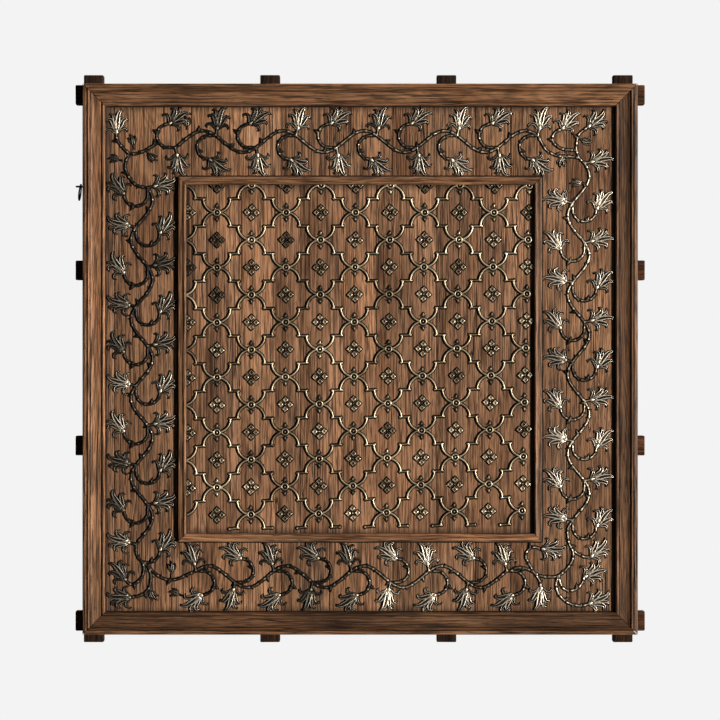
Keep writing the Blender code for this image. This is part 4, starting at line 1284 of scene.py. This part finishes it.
HOOP_R = 0.0225
HOOP_WIRE = 0.0025
HOOP_TURN = math.radians(12)
HOOP_LEAN = math.radians(6)
HOOP_STEPS = 48
HOOP_SIDES = 12
low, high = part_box("iron_ring")
hoop_middle = (Vector(low) + Vector(high)) / 2
bm = bmesh.new()
rings = []
for i in range(HOOP_STEPS):
    around = 2 * math.pi * i / HOOP_STEPS
    wire = HOOP_WIRE * (0.94 + 0.06 * math.cos(3 * around + 1.0))
    ring = []
    for k in range(HOOP_SIDES):
        about = 2 * math.pi * k / HOOP_SIDES
        r = HOOP_R + wire * math.cos(about)
        spot = Vector((wire * math.sin(about), r * math.sin(around), r * math.cos(around)))
        # It leans on its pin, and hangs turned a little to the front
        x = spot.x * math.cos(HOOP_LEAN) + spot.z * math.sin(HOOP_LEAN)
        z = spot.z * math.cos(HOOP_LEAN) - spot.x * math.sin(HOOP_LEAN)
        y = spot.y * math.cos(HOOP_TURN) + x * math.sin(HOOP_TURN)
        x = x * math.cos(HOOP_TURN) - spot.y * math.sin(HOOP_TURN)
        ring.append(bm.verts.new(hoop_middle + Vector((x, y, z))))
    rings.append(ring)
skin(bm, rings + rings[:1])
bmesh.ops.recalc_face_normals(bm, faces=bm.faces)
add_piece("forged_ring", bm, iron, ["iron_ring"])

# Studio
# A pale floor and an even pale background, a lamp from the right that rakes across the relief, a weak fill,
# and a soft lamp behind for the back. The camera stands far off, straight in front, as in the photograph.
PALE = "#f3f3f3"
FILL = 0.052


def pale_light(tree, strength):
    """Pale where it is looked at, and weaker where it only lights the piece."""
    seen = add_node(tree, "ShaderNodeLightPath").outputs["Is Camera Ray"]
    return share(tree, seen, 0.0, 1.0, strength, 1.0)


world = bpy.data.worlds.new("pale studio")
world.use_nodes = True
bpy.context.scene.world = world
world_tree = world.node_tree
set_inputs(world_tree, world_tree.nodes["Background"],
           {"Color": linear(PALE), "Strength": pale_light(world_tree, FILL)})

FLOOR_HALF = 6
FLOOR_DROP = 0.30
floor_z = frame_low[2] - FLOOR_DROP
corners = [(x * FLOOR_HALF, y * FLOOR_HALF, floor_z) for x, y in ((-1, -1), (1, -1), (1, 1), (-1, 1))]
floor_mesh = bpy.data.meshes.new("floor")
floor_mesh.from_pydata(corners, [], [(0, 1, 2, 3)])
floor = bpy.data.objects.new("floor", floor_mesh)
bpy.context.collection.objects.link(floor)
# A floor that is the same pale as the background wherever it is seen, without shadow or shine
floor_surface, tree, shader = new_surface("pale studio floor")
set_inputs(tree, shader, {
    "Base Color": (0.0, 0.0, 0.0, 1.0),
    "Roughness": 1.0,
    "Specular IOR Level": 0.0,
    "Emission Color": linear(PALE),
    "Emission Strength": pale_light(tree, FILL),
})
floor_mesh.materials.append(floor_surface)

LAMPS = (
    ("raking lamp", 6.2, 3, (-1.0, 0.75, -0.01)),
    ("soft lamp behind", 2.2, 20, (-0.5, -1.0, -0.6)),
)
for name, energy, softness, travel in LAMPS:
    sun = bpy.data.lights.new(name, "SUN")
    sun.energy = energy
    sun.angle = math.radians(softness)
    sun.color = linear("#fff4e6")[:3]
    lamp = bpy.data.objects.new(name, sun)
    lamp.rotation_euler = Vector(travel).to_track_quat("-Z", "Y").to_euler()
    bpy.context.collection.objects.link(lamp)

FACE_WIDTH = 2.0760
STAND_OFF = 9.0
AIM_X, AIM_Z = -0.0004, -0.0025
camera_data = bpy.data.cameras.new("camera")
camera_data.sensor_width = 36.0
camera_data.lens = camera_data.sensor_width * STAND_OFF / FACE_WIDTH
camera_data.clip_end = 60.0
camera = bpy.data.objects.new("camera", camera_data)
camera.location = (panel_x + AIM_X, board_face - STAND_OFF, panel_z + AIM_Z)
camera.rotation_euler = (math.radians(90), 0.0, 0.0)
bpy.context.collection.objects.link(camera)
bpy.context.scene.camera = camera
bpy.context.scene.view_settings.view_transform = "Standard"
